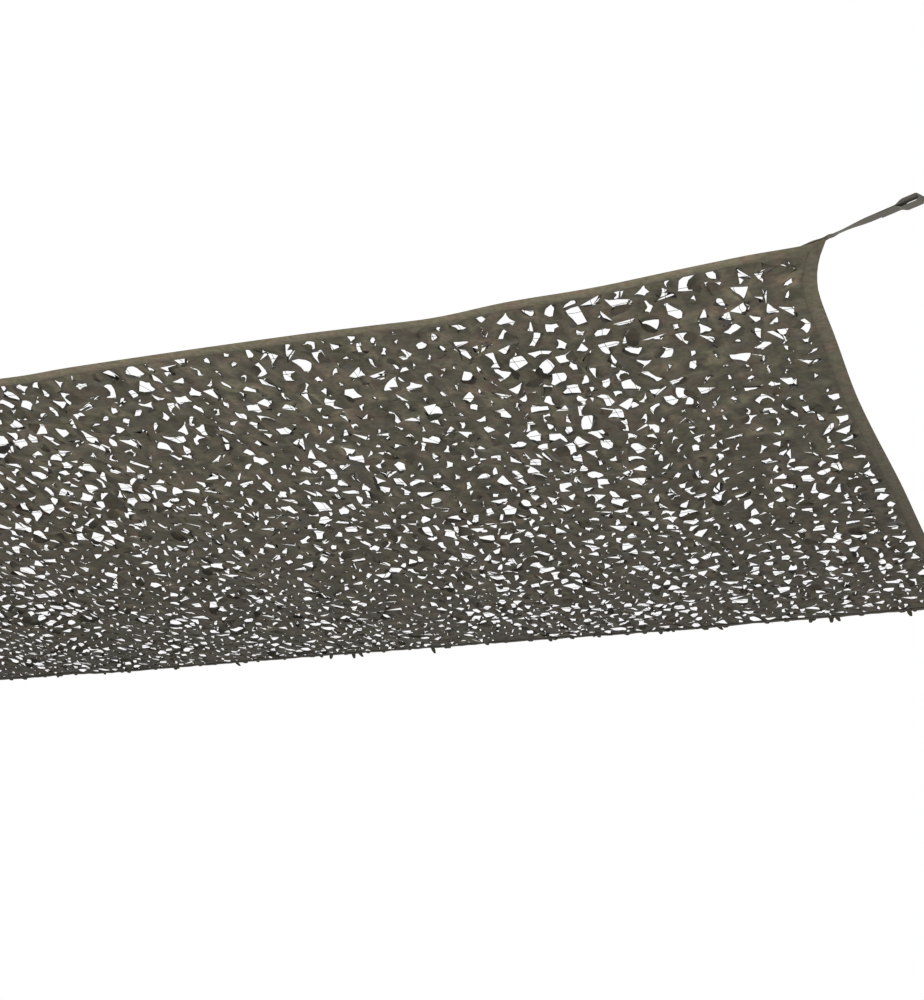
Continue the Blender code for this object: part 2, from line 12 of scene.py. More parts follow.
import bpy
from bpy.props import FloatProperty, FloatVectorProperty, PointerProperty
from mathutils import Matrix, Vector


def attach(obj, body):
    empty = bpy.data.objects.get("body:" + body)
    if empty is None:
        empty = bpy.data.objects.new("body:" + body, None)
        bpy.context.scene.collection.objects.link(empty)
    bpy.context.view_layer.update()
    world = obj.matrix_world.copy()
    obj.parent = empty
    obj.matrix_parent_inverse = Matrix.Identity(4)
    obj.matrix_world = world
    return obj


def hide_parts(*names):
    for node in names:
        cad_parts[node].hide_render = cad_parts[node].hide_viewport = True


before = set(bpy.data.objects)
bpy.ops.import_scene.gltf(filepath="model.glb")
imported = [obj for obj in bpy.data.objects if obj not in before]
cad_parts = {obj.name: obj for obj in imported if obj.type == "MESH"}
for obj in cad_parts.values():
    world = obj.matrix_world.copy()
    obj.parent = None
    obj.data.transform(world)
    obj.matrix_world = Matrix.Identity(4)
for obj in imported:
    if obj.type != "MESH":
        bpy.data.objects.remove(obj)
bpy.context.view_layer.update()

bl_info = {
    "name": "Shade Sail of Leaf-Cut Net",
    "version": (1, 0, 0),
    "blender": (4, 5, 0),
    "location": "3D View > Sidebar > Shade Sail",
    "description": "Builds the cut cloth, string netting, seams and corner straps of a shade sail",
    "category": "Object",
}

# Driving sizes of the sail
SAIL_LENGTH = 5.0
SAIL_DEPTH = 3.0
FAR_FALL = 0.244
FAR_FLARE = 0.080
MIDDLE_SAG = 0.075
DISH_FULLNESS = 0.7
HEM_THICK = 0.0034
HEM_WIDTH = 0.035

# Corner straps: flat webbing, folded back to an eye
STRAP_WIDTH = 0.025
STRAP_THICK = 0.0018
HALF_THICK = STRAP_THICK / 2.0
STRAP_TURN = math.radians(27.0)
STRAP_TWIST = math.radians(20.0)
TWIST_AT = (0.012, 0.030, 0.046, 0.120)
LAP_IN = 0.0120  # a little more than the solid's, along the hem
STRAP_LAP = 0.070
STRAP_RUN = 0.225
EYE_STRAIGHT = 0.030
EYE_TAPER = 0.022
EYE_RISE = 0.0075
FOLD_BACK = 0.045
SEAT_GAP = 0.0003
LAP_GAP = 0.0006
RUN_STEP = 0.006  # finer steps than the solid has
LAP_PARTS = 10
TAPER_PARTS = 6
EYE_FACETS = 14
GATHER = 0.45  # share of the webbing's width that its seam takes in where it leaves the cloth
GATHER_REACH = 0.030
SECTION_POINTS = 16  # round the webbing
SECTION_FLATNESS = 0.30  # power of the section's curve: lower is more square

# Leaf cut of the cloth: one opening to a cell, in columns that are staggered by half a cell
COLUMNS = 84
ROWS = 40
CUT_MARGIN = 0.005
CELL_WANDER = 0.018
CELL_BEND = 0.012
BEND_WAVES = (0.61, 0.97, 0.53, 1.10)
BEND_EASE = 0.10
MEAN_OPENING = 0.0130
LEAST_OPENING = 0.0052
WIDEST_OPENING = 0.0380
OPENING_STRETCH = 1.25
LONG_WAY = math.radians(55.0)  # in which most openings are longer
LONG_WAY_UNEVEN = math.radians(130.0)
LENGTHENING = 0.80
WEB = 0.0030
SHIFT = 0.24
LEAST_ROOM = 0.15
SPREAD = 1.90
PATCH_EFFECT = 1.15
FEWEST_CORNERS = 3
EXTRA_CORNERS = 2.6
CORNER_REACH = 1.25
REACH_UNEVEN = 0.55
TURN_UNEVEN = 0.5
BORDER = HEM_WIDTH + CUT_MARGIN
CELL_LEFT = (SAIL_LENGTH - 2.0 * BORDER) / COLUMNS
CELL_AWAY = (SAIL_DEPTH - 2.0 * BORDER) / (ROWS + 0.5)
LAST_LINE = 2 * COLUMNS
LAST_HALF_ROW = 2 * ROWS + 1

# Cloth round each opening
RIM_POINTS = 12
SIDE_BOW = 0.30  # of an opening's side, to its length
BOW_INWARDS = 0.62  # share of the sides that bow inwards
FACET_PAINTED_SHADE = 0.50  # painted shade and light that differ between the sides of an opening, as if each side were a tilted facet
RIM_UNEVEN = (0.8, 0.4)  # least tone of a rim's point to the rim's painted shade, and how much more
LEAF_SHADE_AND_HIGHLIGHT = (0.60, 0.44, 0.80)  # painted shade and, seldom, a painted highlight on each leaf round an opening: least, how much more is usual, and how much more is seldom
# Random tone where the cells' sides meet: painted shade of folds, seldom a painted highlight.
LATTICE_SHADE_AND_HIGHLIGHT = (0.72, 0.36, 0.65)
SELDOM = 8  # power that keeps the painted highlights few
CORNER_PAINTED_LIGHT = 0.16  # painted light on the cloth that is drawn tight at a corner
PAINTED_LIGHT_REACH = 0.80
COLLAR = 0.45  # share of the way from the rim to the cell's side where the slope eases
FARTHEST_SIDE = 6.0  # of a cell's side to the rim's distance from the middle
COLLAR_LIFT = 0.40  # share of the rim's lift that is left there
LOUVRE_SHARES = (0.6, 0.5, 1.2)  # of the louvre: steady, by the openness and by chance
SIDE_TILT = 0.6  # of the louvre, most from side to side
CELL_LIFT = 0.0050
RIM_CRINKLE = 0.0030

# Tongues of the leaf cut, each on a few of its rim's points
TONGUE_BASE = 5  # rim points
TONGUE_SIDE = math.radians(90.0)  # on which most are joined: away
TONGUE_SIDE_UNEVEN = math.radians(220.0)
TONGUE_LENGTH = (1.2, 0.8)  # least to the opening's reach, and how much more
LEAST_TONGUE = 0.0001  # reach of an opening that still has a tongue
TONGUE_SLOPE = (0.35, 1.3)  # least to a middling tongue's, and how much more
STEEPEST_TONGUE = math.radians(100.0)
# Painted shade that darkens the tongues: least tone, and how much more.
TONGUE_PAINTED_SHADE = (0.34, 0.50)
TONGUE_BEND = 0.55  # share of its length where it bends again
RIDGE = (1.1, 0.8)  # how far out and down the bend's middle is, to its sides
TONGUE_CURL = 1.5  # slope past the bend to the slope before it
TONGUE_WAIST = 0.90  # half width at the bend, to the base's
TONGUE_TIP = 0.42
LOWEST_CLOTH = -0.272

# Leaf tips that hang under the far edge: distance left, length and lean of each large one
HANGING_TIPS = (
    (0.275, 0.021, -0.3),
    (0.541, 0.016, -0.5),
    (0.562, 0.019, 0.1),
    (0.639, 0.013, 0.4),
    (0.997, 0.013, -0.9),
    (1.239, 0.010, 0.0),
    (1.713, 0.009, -0.2),
    (2.246, 0.024, -0.3),
    (2.592, 0.017, -0.6),
    (2.623, 0.021, 0.0),
    (2.731, 0.016, 0.5),
    (3.208, 0.016, -0.8),
    (3.530, 0.010, 0.0),
    (4.169, 0.010, 0.2),
)
SMALL_TIPS = 44
SMALL_TIPS_IN = 0.15  # from the corners
SMALL_TIP_LENGTH = (0.002, 0.005)  # least, and how much more
SMALL_TIP_WIDTH = (0.8, 0.8)  # to a large tip's
TIP_WIDTH = 0.020
TIP_IN = 0.012  # from the edge to its root
TIP_OUT = 0.010
TIP_SHAPE = ((0.0, 1.0), (0.55, 0.85), (1.0, 0.45))  # share of the length, share of the width
# Painted shade that darkens the leaf tips under the far edge.
TIP_PAINTED_SHADE = 0.75

# How far the taut edges draw in and drop, by the distance from the corner
# (distance, drawn in, dropped)
LONG_EDGE = (
    (0.00, 0.0000, 0.000),
    (0.02, 0.0088, 0.000),
    (0.05, 0.0180, 0.000),
    (0.18, 0.0200, 0.000),
    (0.50, 0.034, 0.007),
    (0.75, 0.036, 0.006),
    (1.00, 0.049, 0.013),
    (1.30, 0.026, 0.007),
    (2.10, 0.010, 0.000),
    (2.50, 0.010, 0.000),
)
SHORT_EDGE = (
    (0.00, -0.0110, 0.000),
    (0.02, -0.0035, 0.000),
    (0.05, 0.0095, 0.000),
    (0.10, 0.0278, 0.000),
    (0.17, 0.0462, 0.002),
    (0.25, 0.0572, 0.004),
    (0.45, 0.064, 0.008),
    (0.85, 0.079, 0.014),
    (1.50, 0.074, 0.018),
)

# Soft folds that run in depth, fading towards the taut corners
FOLD_EASE = 0.35
FOLD_REACH = 3.0
CORNER_CALM = 0.6
# (distance left of the right edge, half width, height, start, end, lean per metre of depth)
FOLDS = (
    (0.36, 0.13, 0.010, 0.10, 1.60, 0.05),
    (0.66, 0.15, -0.012, 0.15, 2.40, 0.06),
    (1.06, 0.14, 0.014, 0.05, 2.10, 0.10),
    (1.38, 0.13, -0.009, 0.60, 2.85, 0.04),
    (1.78, 0.15, 0.012, 0.20, 2.00, 0.03),
    (2.13, 0.09, -0.011, 0.05, 2.90, 0.02),
    (2.50, 0.17, 0.013, 0.10, 2.30, 0.05),
    (2.95, 0.16, -0.010, 0.50, 2.80, -0.04),
    (3.36, 0.14, 0.012, 0.20, 2.20, 0.03),
    (3.80, 0.15, -0.012, 0.10, 2.60, -0.05),
    (4.20, 0.14, 0.010, 0.40, 2.90, -0.03),
    (4.62, 0.13, -0.009, 0.15, 2.20, -0.06),
)

# Where the cloth is drawn open (+) or pushed together (-)
PATCH_REACH = 6.0
PATCH_SWELL = 0.30
LEAST_OPENNESS = -0.9
MOST_OPENNESS = 1.4
# (distance left, distance away, half size left, half size away, strength)
PATCHES = (
    (0.30, 0.12, 0.08, 0.10, 0.6),
    (0.30, 0.72, 0.10, 0.10, 0.35),
    (0.24, 1.42, 0.12, 0.12, 0.4),
    (0.17, 2.13, 0.10, 0.08, 0.4),
    (0.17, 2.50, 0.10, 0.10, 0.4),
    (0.62, 2.42, 0.10, 0.14, 0.2),
    (0.76, 0.36, 0.11, 0.14, 0.9),
    (0.70, 0.68, 0.10, 0.14, 1.2),
    (0.82, 0.84, 0.13, 0.10, 1.3),
    (0.95, 0.72, 0.06, 0.10, 0.7),
    (0.87, 1.17, 0.06, 0.12, 0.9),
    (0.77, 1.97, 0.12, 0.10, 0.6),
    (0.95, 2.15, 0.08, 0.10, 0.3),
    (1.12, 2.62, 0.10, 0.10, 0.8),
    (1.23, 1.30, 0.12, 0.10, 0.6),
    (1.26, 0.92, 0.08, 0.12, 0.5),
    (1.30, 2.84, 0.10, 0.07, 0.5),
    (1.33, 1.93, 0.12, 0.14, 0.5),
    (1.37, 0.12, 0.16, 0.08, 1.0),
    (1.40, 2.35, 0.10, 0.12, 0.5),
    (1.50, 0.80, 0.07, 0.14, 0.8),
    (1.60, 1.36, 0.22, 0.07, 0.6),
    (1.62, 0.56, 0.08, 0.10, 0.4),
    (1.67, 1.66, 0.12, 0.10, 0.5),
    (1.70, 2.66, 0.08, 0.12, 0.7),
    (1.83, 2.42, 0.08, 0.14, 1.0),
    (1.87, 1.03, 0.12, 0.10, 0.3),
    (1.93, 0.38, 0.12, 0.10, 0.5),
    (2.24, 0.34, 0.10, 0.20, 1.1),
    (2.28, 0.68, 0.10, 0.14, 1.2),
    (2.42, 0.80, 0.14, 0.09, 1.3),
    (2.60, 1.10, 0.07, 0.13, 0.9),
    (2.60, 1.88, 0.14, 0.08, 0.7),
    (2.62, 0.70, 0.07, 0.10, 1.0),
    (2.70, 2.28, 0.08, 0.14, 0.4),
    (2.78, 1.47, 0.08, 0.08, 0.5),
    (2.78, 2.80, 0.06, 0.10, 0.4),
    (3.00, 2.10, 0.07, 0.12, 0.5),
    (3.13, 1.30, 0.10, 0.14, 0.5),
    (3.20, 0.60, 0.20, 0.16, 0.6),
    (3.27, 1.65, 0.12, 0.12, 0.4),
    (3.30, 2.62, 0.12, 0.12, 0.8),
    (3.43, 1.94, 0.14, 0.12, 0.8),
    (3.70, 2.36, 0.10, 0.12, 0.8),
    (3.70, 2.80, 0.10, 0.08, 0.5),
    (3.90, 0.90, 0.14, 0.22, 0.8),
    (4.15, 1.60, 0.12, 0.12, 0.6),
    (4.20, 2.62, 0.12, 0.12, 0.8),
    (4.40, 0.45, 0.16, 0.14, 0.7),
    (4.60, 1.95, 0.12, 0.16, 0.6),
    (0.17, 0.56, 0.16, 0.12, -0.9),
    (0.20, 1.68, 0.14, 0.14, -0.6),
    (0.28, 2.88, 0.10, 0.10, -0.4),
    (0.43, 1.24, 0.10, 0.12, -0.6),
    (0.42, 0.84, 0.10, 0.22, -0.8),
    (0.45, 2.10, 0.08, 0.20, -0.3),
    (0.87, 2.60, 0.07, 0.24, -0.6),
    (1.05, 0.14, 0.12, 0.08, -0.6),
    (1.10, 0.50, 0.10, 0.12, -0.3),
    (1.13, 2.25, 0.08, 0.16, -0.8),
    (1.33, 0.62, 0.10, 0.10, -0.5),
    (1.80, 0.72, 0.06, 0.15, -0.3),
    (1.85, 2.88, 0.16, 0.08, -0.9),
    (2.00, 1.90, 0.08, 0.30, -0.7),
    (2.00, 2.45, 0.06, 0.30, -0.6),
    (2.05, 0.62, 0.07, 0.16, -0.6),
    (2.25, 1.22, 0.14, 0.12, -0.4),
    (2.25, 1.70, 0.12, 0.15, -0.5),
    (2.60, 2.60, 0.10, 0.08, -0.4),
    (2.98, 1.50, 0.10, 0.12, -0.4),
    (3.00, 2.62, 0.05, 0.24, -0.8),
    (3.22, 2.14, 0.12, 0.14, -0.9),
    (3.38, 2.32, 0.08, 0.08, -0.5),
    (3.50, 1.10, 0.14, 0.20, -0.5),
    (3.80, 2.10, 0.10, 0.08, -0.5),
    (4.40, 2.86, 0.24, 0.10, -0.9),
    (4.60, 1.10, 0.14, 0.30, -0.6),
)

# The hem from the cut cloth to its turned-in end
# (distance in from the edge, height, tone)
# Tones above 1 make the hem lighter towards its folded edge; those below 1, along its inner edge and
# turned-in end, are painted shade.
HEM_RINGS = (
    (0.0350, 0.0006, 0.90),
    (0.0180, 0.0009, 1.20),
    (0.0016, 0.0006, 1.45),
    (0.0000, -0.0003, 1.60),
    (0.0016, -0.0013, 1.78),
    (0.0180, -0.0017, 1.74),
    (0.0320, -0.0017, 1.28),
    (0.0345, -0.0015, 0.75),
    (0.0350, -0.0011, 0.65),
    (0.0310, -0.0006, 0.65),
)
HEM_TOP = HEM_RINGS[0][1]
HEM_UNDER = HEM_RINGS[5][1]
# Painted shade that darkens the hem along the far edge.
FAR_HEM_PAINTED_SHADE = 0.55
SIDE_HEM_EFFECT = 0.40  # of these tones on the short edges
HEM_DARK = 0.25  # from a corner, within which the hem is as dark as the cloth
EDGE_WAVE = 0.0030  # of the far edge, up and down

# String netting that lies on the cloth, knotted where its strings cross
STRINGS_ALONG = 34
STRINGS_DEEP = 58
STRING_INSET = 0.020
STRING_LIFT = 0.0080
STRING_WANDER = 0.012
STRING_SIDES = 4
STRING_STRAND = 0.0012  # width of the light and dark strands
KNOT_SHAPE = (1.0, 1.0, 0.7)

# Seams
SEAM_INSET = 0.030
BOX_IN = 0.004  # from the webbing's side to its stitched box
BOX_LINES = ((0, 1), (1, 2), (2, 3), (3, 0), (0, 2), (1, 3))  # between the box's corners
BOX_PARTS = 6  # of each line
STITCH_SHARE = 0.8  # of the pitch
ARCH_PARTS = 4  # of a stitch's arch
THREAD_STRAND = 0.0005

# Patterns of the finishes
MOTTLE = 0.075
STREAK = 0.014
CRINKLE = 0.022
RIB_SPACING = 0.0016  # of the webbing's warp
PICK_SPACING = 0.0024  # of its weft
PICK_HEIGHT = 0.6  # to the ribs'
ONE_BAND = 0.314  # wave texture's scale at which its bands are a metre apart

# Camera and stage. The camera's place was found from the sail's edges in the photograph.
CAMERA_PLACE = (0.24301, -2.96024, -1.43316)
CAMERA_PITCH = math.radians(15.753)
CAMERA_HEADING = math.radians(22.803)  # from +Y towards -X
CAMERA_LENS = 54.494
FLOOR_PLACE = (-2.7, 1.6, -14.0)  # low enough for views from below
FLOOR_RADIUS = 112.0
FLOOR_SIDES = 96
PANEL_PLACE = (-0.9, -2.8, -3.0)
PANEL_AIM = (-0.9, 0.2, -0.1)
PANEL_LONG = 7.0
PANEL_HIGH = 1.2
PANEL_WATTS = 95.0
PANEL_SPREAD = math.radians(70.0)

TAPER_START = STRAP_RUN - EYE_STRAIGHT / 2.0 - EYE_TAPER  # of the webbing towards its eye
TIP_LEFT = STRAP_RUN * math.cos(STRAP_TURN)
TIP_AWAY = STRAP_RUN * math.sin(STRAP_TURN)


# Shape of the hung sail, as in the part's source


def along_table(table, distance, column):
    """Read a smooth curve through one column of a table, level at its last row."""
    last = len(table) - 1
    distance = min(max(distance, table[0][0]), table[last][0])
    row = next(k for k in range(last) if distance <= table[k + 1][0])
    here, there = table[row], table[row + 1]
    width = there[0] - here[0]

    def slope(k):
        if k == last:
            return 0.0
        low, high = table[max(k - 1, 0)], table[k + 1]
        return (high[column] - low[column]) / (high[0] - low[0])

    f = (distance - here[0]) / width
    ease = f * f * (3.0 - 2.0 * f)
    leaving = f * (1.0 - f) ** 2 * width * slope(row)
    coming = f * f * (1.0 - f) * width * slope(row + 1)
    return here[column] + ease * (there[column] - here[column]) + leaving - coming


def edge_value(table, place, length, column):
    """The same from both corners of an edge."""
    return along_table(table, min(place, length - place), column)


def plan(share_left, share_away):
    """Distances left and away of a place on the cloth given by its shares of the two sides."""
    straight_left = share_left * SAIL_LENGTH
    straight_away = share_away * SAIL_DEPTH
    side_in = edge_value(SHORT_EDGE, straight_away, SAIL_DEPTH, 1) - FAR_FLARE * share_away
    long_in = edge_value(LONG_EDGE, straight_left, SAIL_LENGTH, 1)
    left = side_in + share_left * (SAIL_LENGTH - 2.0 * side_in)
    away = long_in + share_away * (SAIL_DEPTH - 2.0 * long_in)
    return left, away


def inset_place(inset, share_left, share_away):
    """Distances left and away of a place on an outline drawn in from the cloth's edge."""
    left = (inset + share_left * (SAIL_LENGTH - 2.0 * inset)) / SAIL_LENGTH
    away = (inset + share_away * (SAIL_DEPTH - 2.0 * inset)) / SAIL_DEPTH
    return plan(left, away)


def smooth(share):
    """Ease from 0 to 1 as the share goes from 0 to 1."""
    share = min(max(share, 0.0), 1.0)
    return share * share * (3.0 - 2.0 * share)


def soft_window(place, start, end):
    """1 between start and end, easing to 0 outside them."""
    rise = smooth((place - start) / FOLD_EASE + 0.5)
    return rise * smooth((end - place) / FOLD_EASE + 0.5)


def from_corner(left, away):
    """Distance of a place from the nearest corner."""
    return math.hypot(min(left, SAIL_LENGTH - left), min(away, SAIL_DEPTH - away))


def height(left, away):
    """Height of the middle of the cloth above the near right corner."""
    share_left = min(max(left / SAIL_LENGTH, 0.0), 1.0)
    share_away = min(max(away / SAIL_DEPTH, 0.0), 1.0)
    dish = math.sin(math.pi * share_left) ** DISH_FULLNESS * math.sin(math.pi * share_away)
    long_drop = edge_value(LONG_EDGE, share_left * SAIL_LENGTH, SAIL_LENGTH, 2)
    side_drop = edge_value(SHORT_EDGE, share_away * SAIL_DEPTH, SAIL_DEPTH, 2)
    near_side = (1.0 - share_away) ** 2 + share_away**2
    right_side = (1.0 - share_left) ** 4 + share_left**4
    level = -FAR_FALL * away / SAIL_DEPTH - MIDDLE_SAG * dish
    level -= long_drop * near_side + side_drop * right_side
    calm = min(from_corner(left, away) / CORNER_CALM, 1.0)
    for fold_left, half_width, rise, start, end, lean in FOLDS:
        off = (left - fold_left - lean * (away - start)) / half_width
        if abs(off) < FOLD_REACH:
            level += rise * calm * math.exp(-off * off) * soft_window(away, start, end)
    return level


def placed(left, away, lift=0.0):
    """The point in the frame's own place, lifted from the middle of the cloth."""
    return (-TIP_LEFT - left, TIP_AWAY + away, height(left, away) + lift)


def chance(column, row, use):
    """A repeatable number from 0 to 1 for one use in one cell."""
    wave = math.sin(column * 127.1 + row * 311.7 + use * 74.7) * 43758.5453
    return wave - math.floor(wave)


def pulls(left, away):
    """Each patch's pull at a place, with how far left and away of its middle the place is."""
    for patch_left, patch_away, size_left, size_away, strength in PATCHES:
        run_left, run_away = left - patch_left, away - patch_away
        off = (run_left / size_left) ** 2 + (run_away / size_away) ** 2
        if off < PATCH_REACH:
            yield strength * math.exp(-off), run_left, run_away


def openness(left, away):
    """How much wider or closer the openings stand at a place."""
    total = sum(pull for pull, _, _ in pulls(left, away))
    return min(max(total, LEAST_OPENNESS), MOST_OPENNESS)


def lattice_place(line, half_row):
    """Distances left and away of a point where the sides of cells meet."""
    left, away = BORDER + 0.5 * line * CELL_LEFT, BORDER + 0.5 * half_row * CELL_AWAY
    from_outline = min(left, SAIL_LENGTH - left, away, SAIL_DEPTH - away) - BORDER
    if from_outline > CELL_WANDER:
        ease = smooth(from_outline / BEND_EASE)
        bend = CELL_BEND * ease
        waves = [math.tau / length for length in BEND_WAVES]
        swing_left = bend * math.sin(away * waves[0] + left * waves[1])
        swing_away = bend * math.sin(left * waves[2] - away * waves[3])
        for pull, run_left, run_away in pulls(left, away):
            swing_left += PATCH_SWELL * ease * pull * run_left
            swing_away += PATCH_SWELL * ease * pull * run_away
        left += swing_left + CELL_WANDER * (chance(line, half_row, 50) - 0.5)
        away += swing_away + CELL_WANDER * (chance(line, half_row, 51) - 0.5)
    return plan(left / SAIL_LENGTH, away / SAIL_DEPTH)


def cell_points(column, row):
    """Lines and half rows of the eight points round a cell."""
    line, near = 2 * column, 2 * row + column % 2
    steps = ((0, 0), (1, 0), (2, 0), (2, 1), (2, 2), (1, 2), (0, 2), (0, 1))
    return [(line + a, near + b) for a, b in steps]


def reach_to_ring(centre, point, ring):
    """How far a ring is from the centre in a point's direction, in distances to the point."""
    run_left, run_away = point[0] - centre[0], point[1] - centre[1]
    reach = math.inf
    for start, end in zip(ring, ring[1:] + ring[:1]):
        side_left, side_away = end[0] - start[0], end[1] - start[1]
        to_left, to_away = start[0] - centre[0], start[1] - centre[1]
        cross = run_left * side_away - run_away * side_left
        if cross == 0.0:
            continue
        along = (to_left * side_away - to_away * side_left) / cross
        across = (to_left * run_away - to_away * run_left) / cross
        if along > 0.0 and 0.0 <= across <= 1.0:
            reach = min(reach, along)
    return reach


def filler_points(column):
    """Lines and half rows of the six points round the half cell at a column's end."""
    line, near = 2 * column, 0 if column % 2 else LAST_HALF_ROW - 1
    steps = ((0, 0), (1, 0), (2, 0), (2, 1), (1, 1), (0, 1))
    return [(line + a, near + b) for a, b in steps]


def opening(border, column, row):
    """Centre and corners, as distances left and away, of one cell's opening."""
    lefts, aways = zip(*border)
    shift_left = SHIFT * (max(lefts) - min(lefts)) * (chance(column, row, 1) - 0.5)
    shift_away = SHIFT * (max(aways) - min(aways)) * (chance(column, row, 2) - 0.5)
    left = sum(lefts) / len(border) + shift_left
    away = sum(aways) / len(border) + shift_away
    centre = (left, away)
    drawn = openness(left, away)
    evenness = 1.0 + max(drawn, 0.0)
    spread = SPREAD / evenness * (chance(column, row, 3) + chance(column, row, 4) - 1.0)
    radius = MEAN_OPENING * math.exp(spread) * (1.0 + PATCH_EFFECT * drawn)
    radius = min(max(radius, LEAST_OPENING), WIDEST_OPENING)
    corners = FEWEST_CORNERS + int(chance(column, row, 5) * EXTRA_CORNERS)
    turn = math.tau * chance(column, row, 6)
    long_way = LONG_WAY + LONG_WAY_UNEVEN * (chance(column, row, 7) - 0.5)
    stretch = math.exp(LENGTHENING / evenness * chance(column, row, 8))
    shape = []
    for k in range(corners):
        uneven = TURN_UNEVEN * (chance(column, row, 10 + k) - 0.5)
        angle = turn + math.tau * (k + uneven) / corners
        reach = CORNER_REACH * radius * (1.0 + REACH_UNEVEN * (chance(column, row, 20 + k) - 0.5))
        along = reach * stretch * math.cos(angle)
        across = reach / stretch * math.sin(angle)
        run_left = along * math.cos(long_way) - across * math.sin(long_way)
        run_away = along * math.sin(long_way) + across * math.cos(long_way)
        run_away *= OPENING_STRETCH
        point = (left + run_left, away + run_away)
        room = reach_to_ring(centre, point, border) - WEB / math.hypot(run_left, run_away)
        share = min(max(room, LEAST_ROOM), 1.0)
        shape.append((left + share * run_left, away + share * run_away))
    size = 1.0
    for point in border:
        inside = max(1.0 - WEB / math.dist(centre, point), LEAST_ROOM)
        size = min(size, inside / reach_to_ring(centre, point, shape))
    return centre, [(left + size * (a - left), away + size * (b - away)) for a, b in shape]


# Finishes


def linear(hex_colour):
    """Linear red, green and blue of an sRGB hex value."""
    channels = [(hex_colour >> shift & 255) / 255.0 for shift in (16, 8, 0)]
    return tuple(c / 12.92 if c <= 0.04045 else ((c + 0.055) / 1.055) ** 2.4 for c in channels)


def add_node(tree, kind, values=None, links=None, **settings):
    """Add a node with its settings, unlinked values and links, from sockets or first outputs."""
    node = tree.nodes.new(kind)
    for name, value in settings.items():
        setattr(node, name, value)
    for socket, value in (values or {}).items():
        node.inputs[socket].default_value = value
    for socket, source in (links or {}).items():
        output = source.outputs[0] if isinstance(source, bpy.types.Node) else source
        tree.links.new(output, node.inputs[socket])
    return node


def new_material(name):
    """An empty material with its node tree."""
    made = bpy.data.materials.new(name)
    made.use_nodes = True
    made.node_tree.nodes.clear()
    return made, made.node_tree


def toned(tree, colour, pattern, limits):
    """One colour, darker and lighter as a pattern runs between its limits."""
    values = dict(zip(("From Min", "From Max", "To Min", "To Max"), limits))
    tone = add_node(tree, "ShaderNodeMapRange", values, {"Value": pattern})
    links = {"Scale": tone}
    return add_node(tree, "ShaderNodeVectorMath", {0: colour}, links, operation="SCALE")


def finish_surface(tree, colour, height, bump, shine):
    """End a material in a shader with its roughness, specular level and sheen, and a bump."""
    strength, distance = bump
    relief = {"Strength": strength, "Distance": distance}
    normal = add_node(tree, "ShaderNodeBump", relief, {"Height": height})
    values = dict(zip(("Roughness", "Specular IOR Level", "Sheen Weight"), shine))
    links = {"Base Color": colour, "Normal": normal}
    shader = add_node(tree, "ShaderNodeBsdfPrincipled", values, links)
    add_node(tree, "ShaderNodeOutputMaterial", links={"Surface": shader})


def printed_polyester_cloth(colours):
    """Printed polyester taffeta, leaf-cut: matte and thin, drab with soft green and brown mottles.

    The print's mottles are 50 to 150 mm long, with finer streaks of about 14 mm.
    """
    made, tree = new_material("printed_polyester_cloth")
    place = add_node(tree, "ShaderNodeTexCoord").outputs["Object"]
    mottles = {"Scale": 1.0 / MOTTLE, "Detail": 3.0, "Roughness": 0.55, "Distortion": 0.8}
    mottle = add_node(tree, "ShaderNodeTexNoise", mottles, {"Vector": place})
    streaks = {"Scale": 1.0 / STREAK, "Detail": 2.0, "Roughness": 0.6}
    streak = add_node(tree, "ShaderNodeTexNoise", streaks, {"Vector": place})
    print_ramp = add_node(tree, "ShaderNodeValToRGB", links={"Fac": mottle})
    ramp = print_ramp.color_ramp
    ramp.elements[0].position = 0.36
    ramp.elements[0].color = (*colours.cloth_olive, 1.0)
    ramp.elements[1].position = 0.64
    ramp.elements[1].color = (*colours.cloth_brown, 1.0)
    ramp.elements.new(0.50).color = (*colours.cloth_drab, 1.0)
    tones = {"From Min": 0.3, "From Max": 0.7, "To Min": 0.74, "To Max": 1.26}
    streak_tone = add_node(tree, "ShaderNodeMapRange", tones, {"Value": streak})
    # The cloth's tone attribute holds random mottling with painted shade and light.
    leaf = add_node(tree, "ShaderNodeAttribute", attribute_name="leaf_tone").outputs["Fac"]
    links = {0: streak_tone, 1: leaf}
    tone = add_node(tree, "ShaderNodeMath", links=links, operation="MULTIPLY")
    links = {0: print_ramp, "Scale": tone}
    colour = add_node(tree, "ShaderNodeVectorMath", links=links, operation="SCALE")
    crinkles = {"Scale": 1.0 / CRINKLE, "Detail": 2.0}
    crinkle = add_node(tree, "ShaderNodeTexNoise", crinkles, {"Vector": place})
    finish_surface(tree, colour, crinkle, bump=(0.35, 0.002), shine=(0.85, 0.25, 0.04))
    return made


def woven_polyester_webbing(colour):
    """Woven polyester webbing: matte, with raised warp ribs 1.6 mm apart along its length, and painted
    shade in the weave's grooves with painted light on its ribs.
    """
    made, tree = new_material("woven_polyester_webbing")
    run = {"Vector": add_node(tree, "ShaderNodeUVMap", uv_map="webbing_run")}
    bands = {"wave_type": "BANDS", "wave_profile": "SIN"}
    scale = {"Scale": ONE_BAND / RIB_SPACING}
    ribs = add_node(tree, "ShaderNodeTexWave", scale, run, bands_direction="Y", **bands)
    scale = {"Scale": ONE_BAND / PICK_SPACING}
    picks = add_node(tree, "ShaderNodeTexWave", scale, run, bands_direction="X", **bands)
    links = {0: picks.outputs["Fac"], 2: ribs.outputs["Fac"]}
    weave = add_node(tree, "ShaderNodeMath", {1: PICK_HEIGHT}, links, operation="MULTIPLY_ADD")
    # The weave is painted darker in its grooves and lighter on its ribs: painted shade and light.
    shade = toned(tree, colour, weave, (0.0, 1.0 + PICK_HEIGHT, 0.72, 1.12))
    finish_surface(tree, shade, weave, bump=(0.6, 0.0004), shine=(0.75, 0.35, 0.05))
    return made


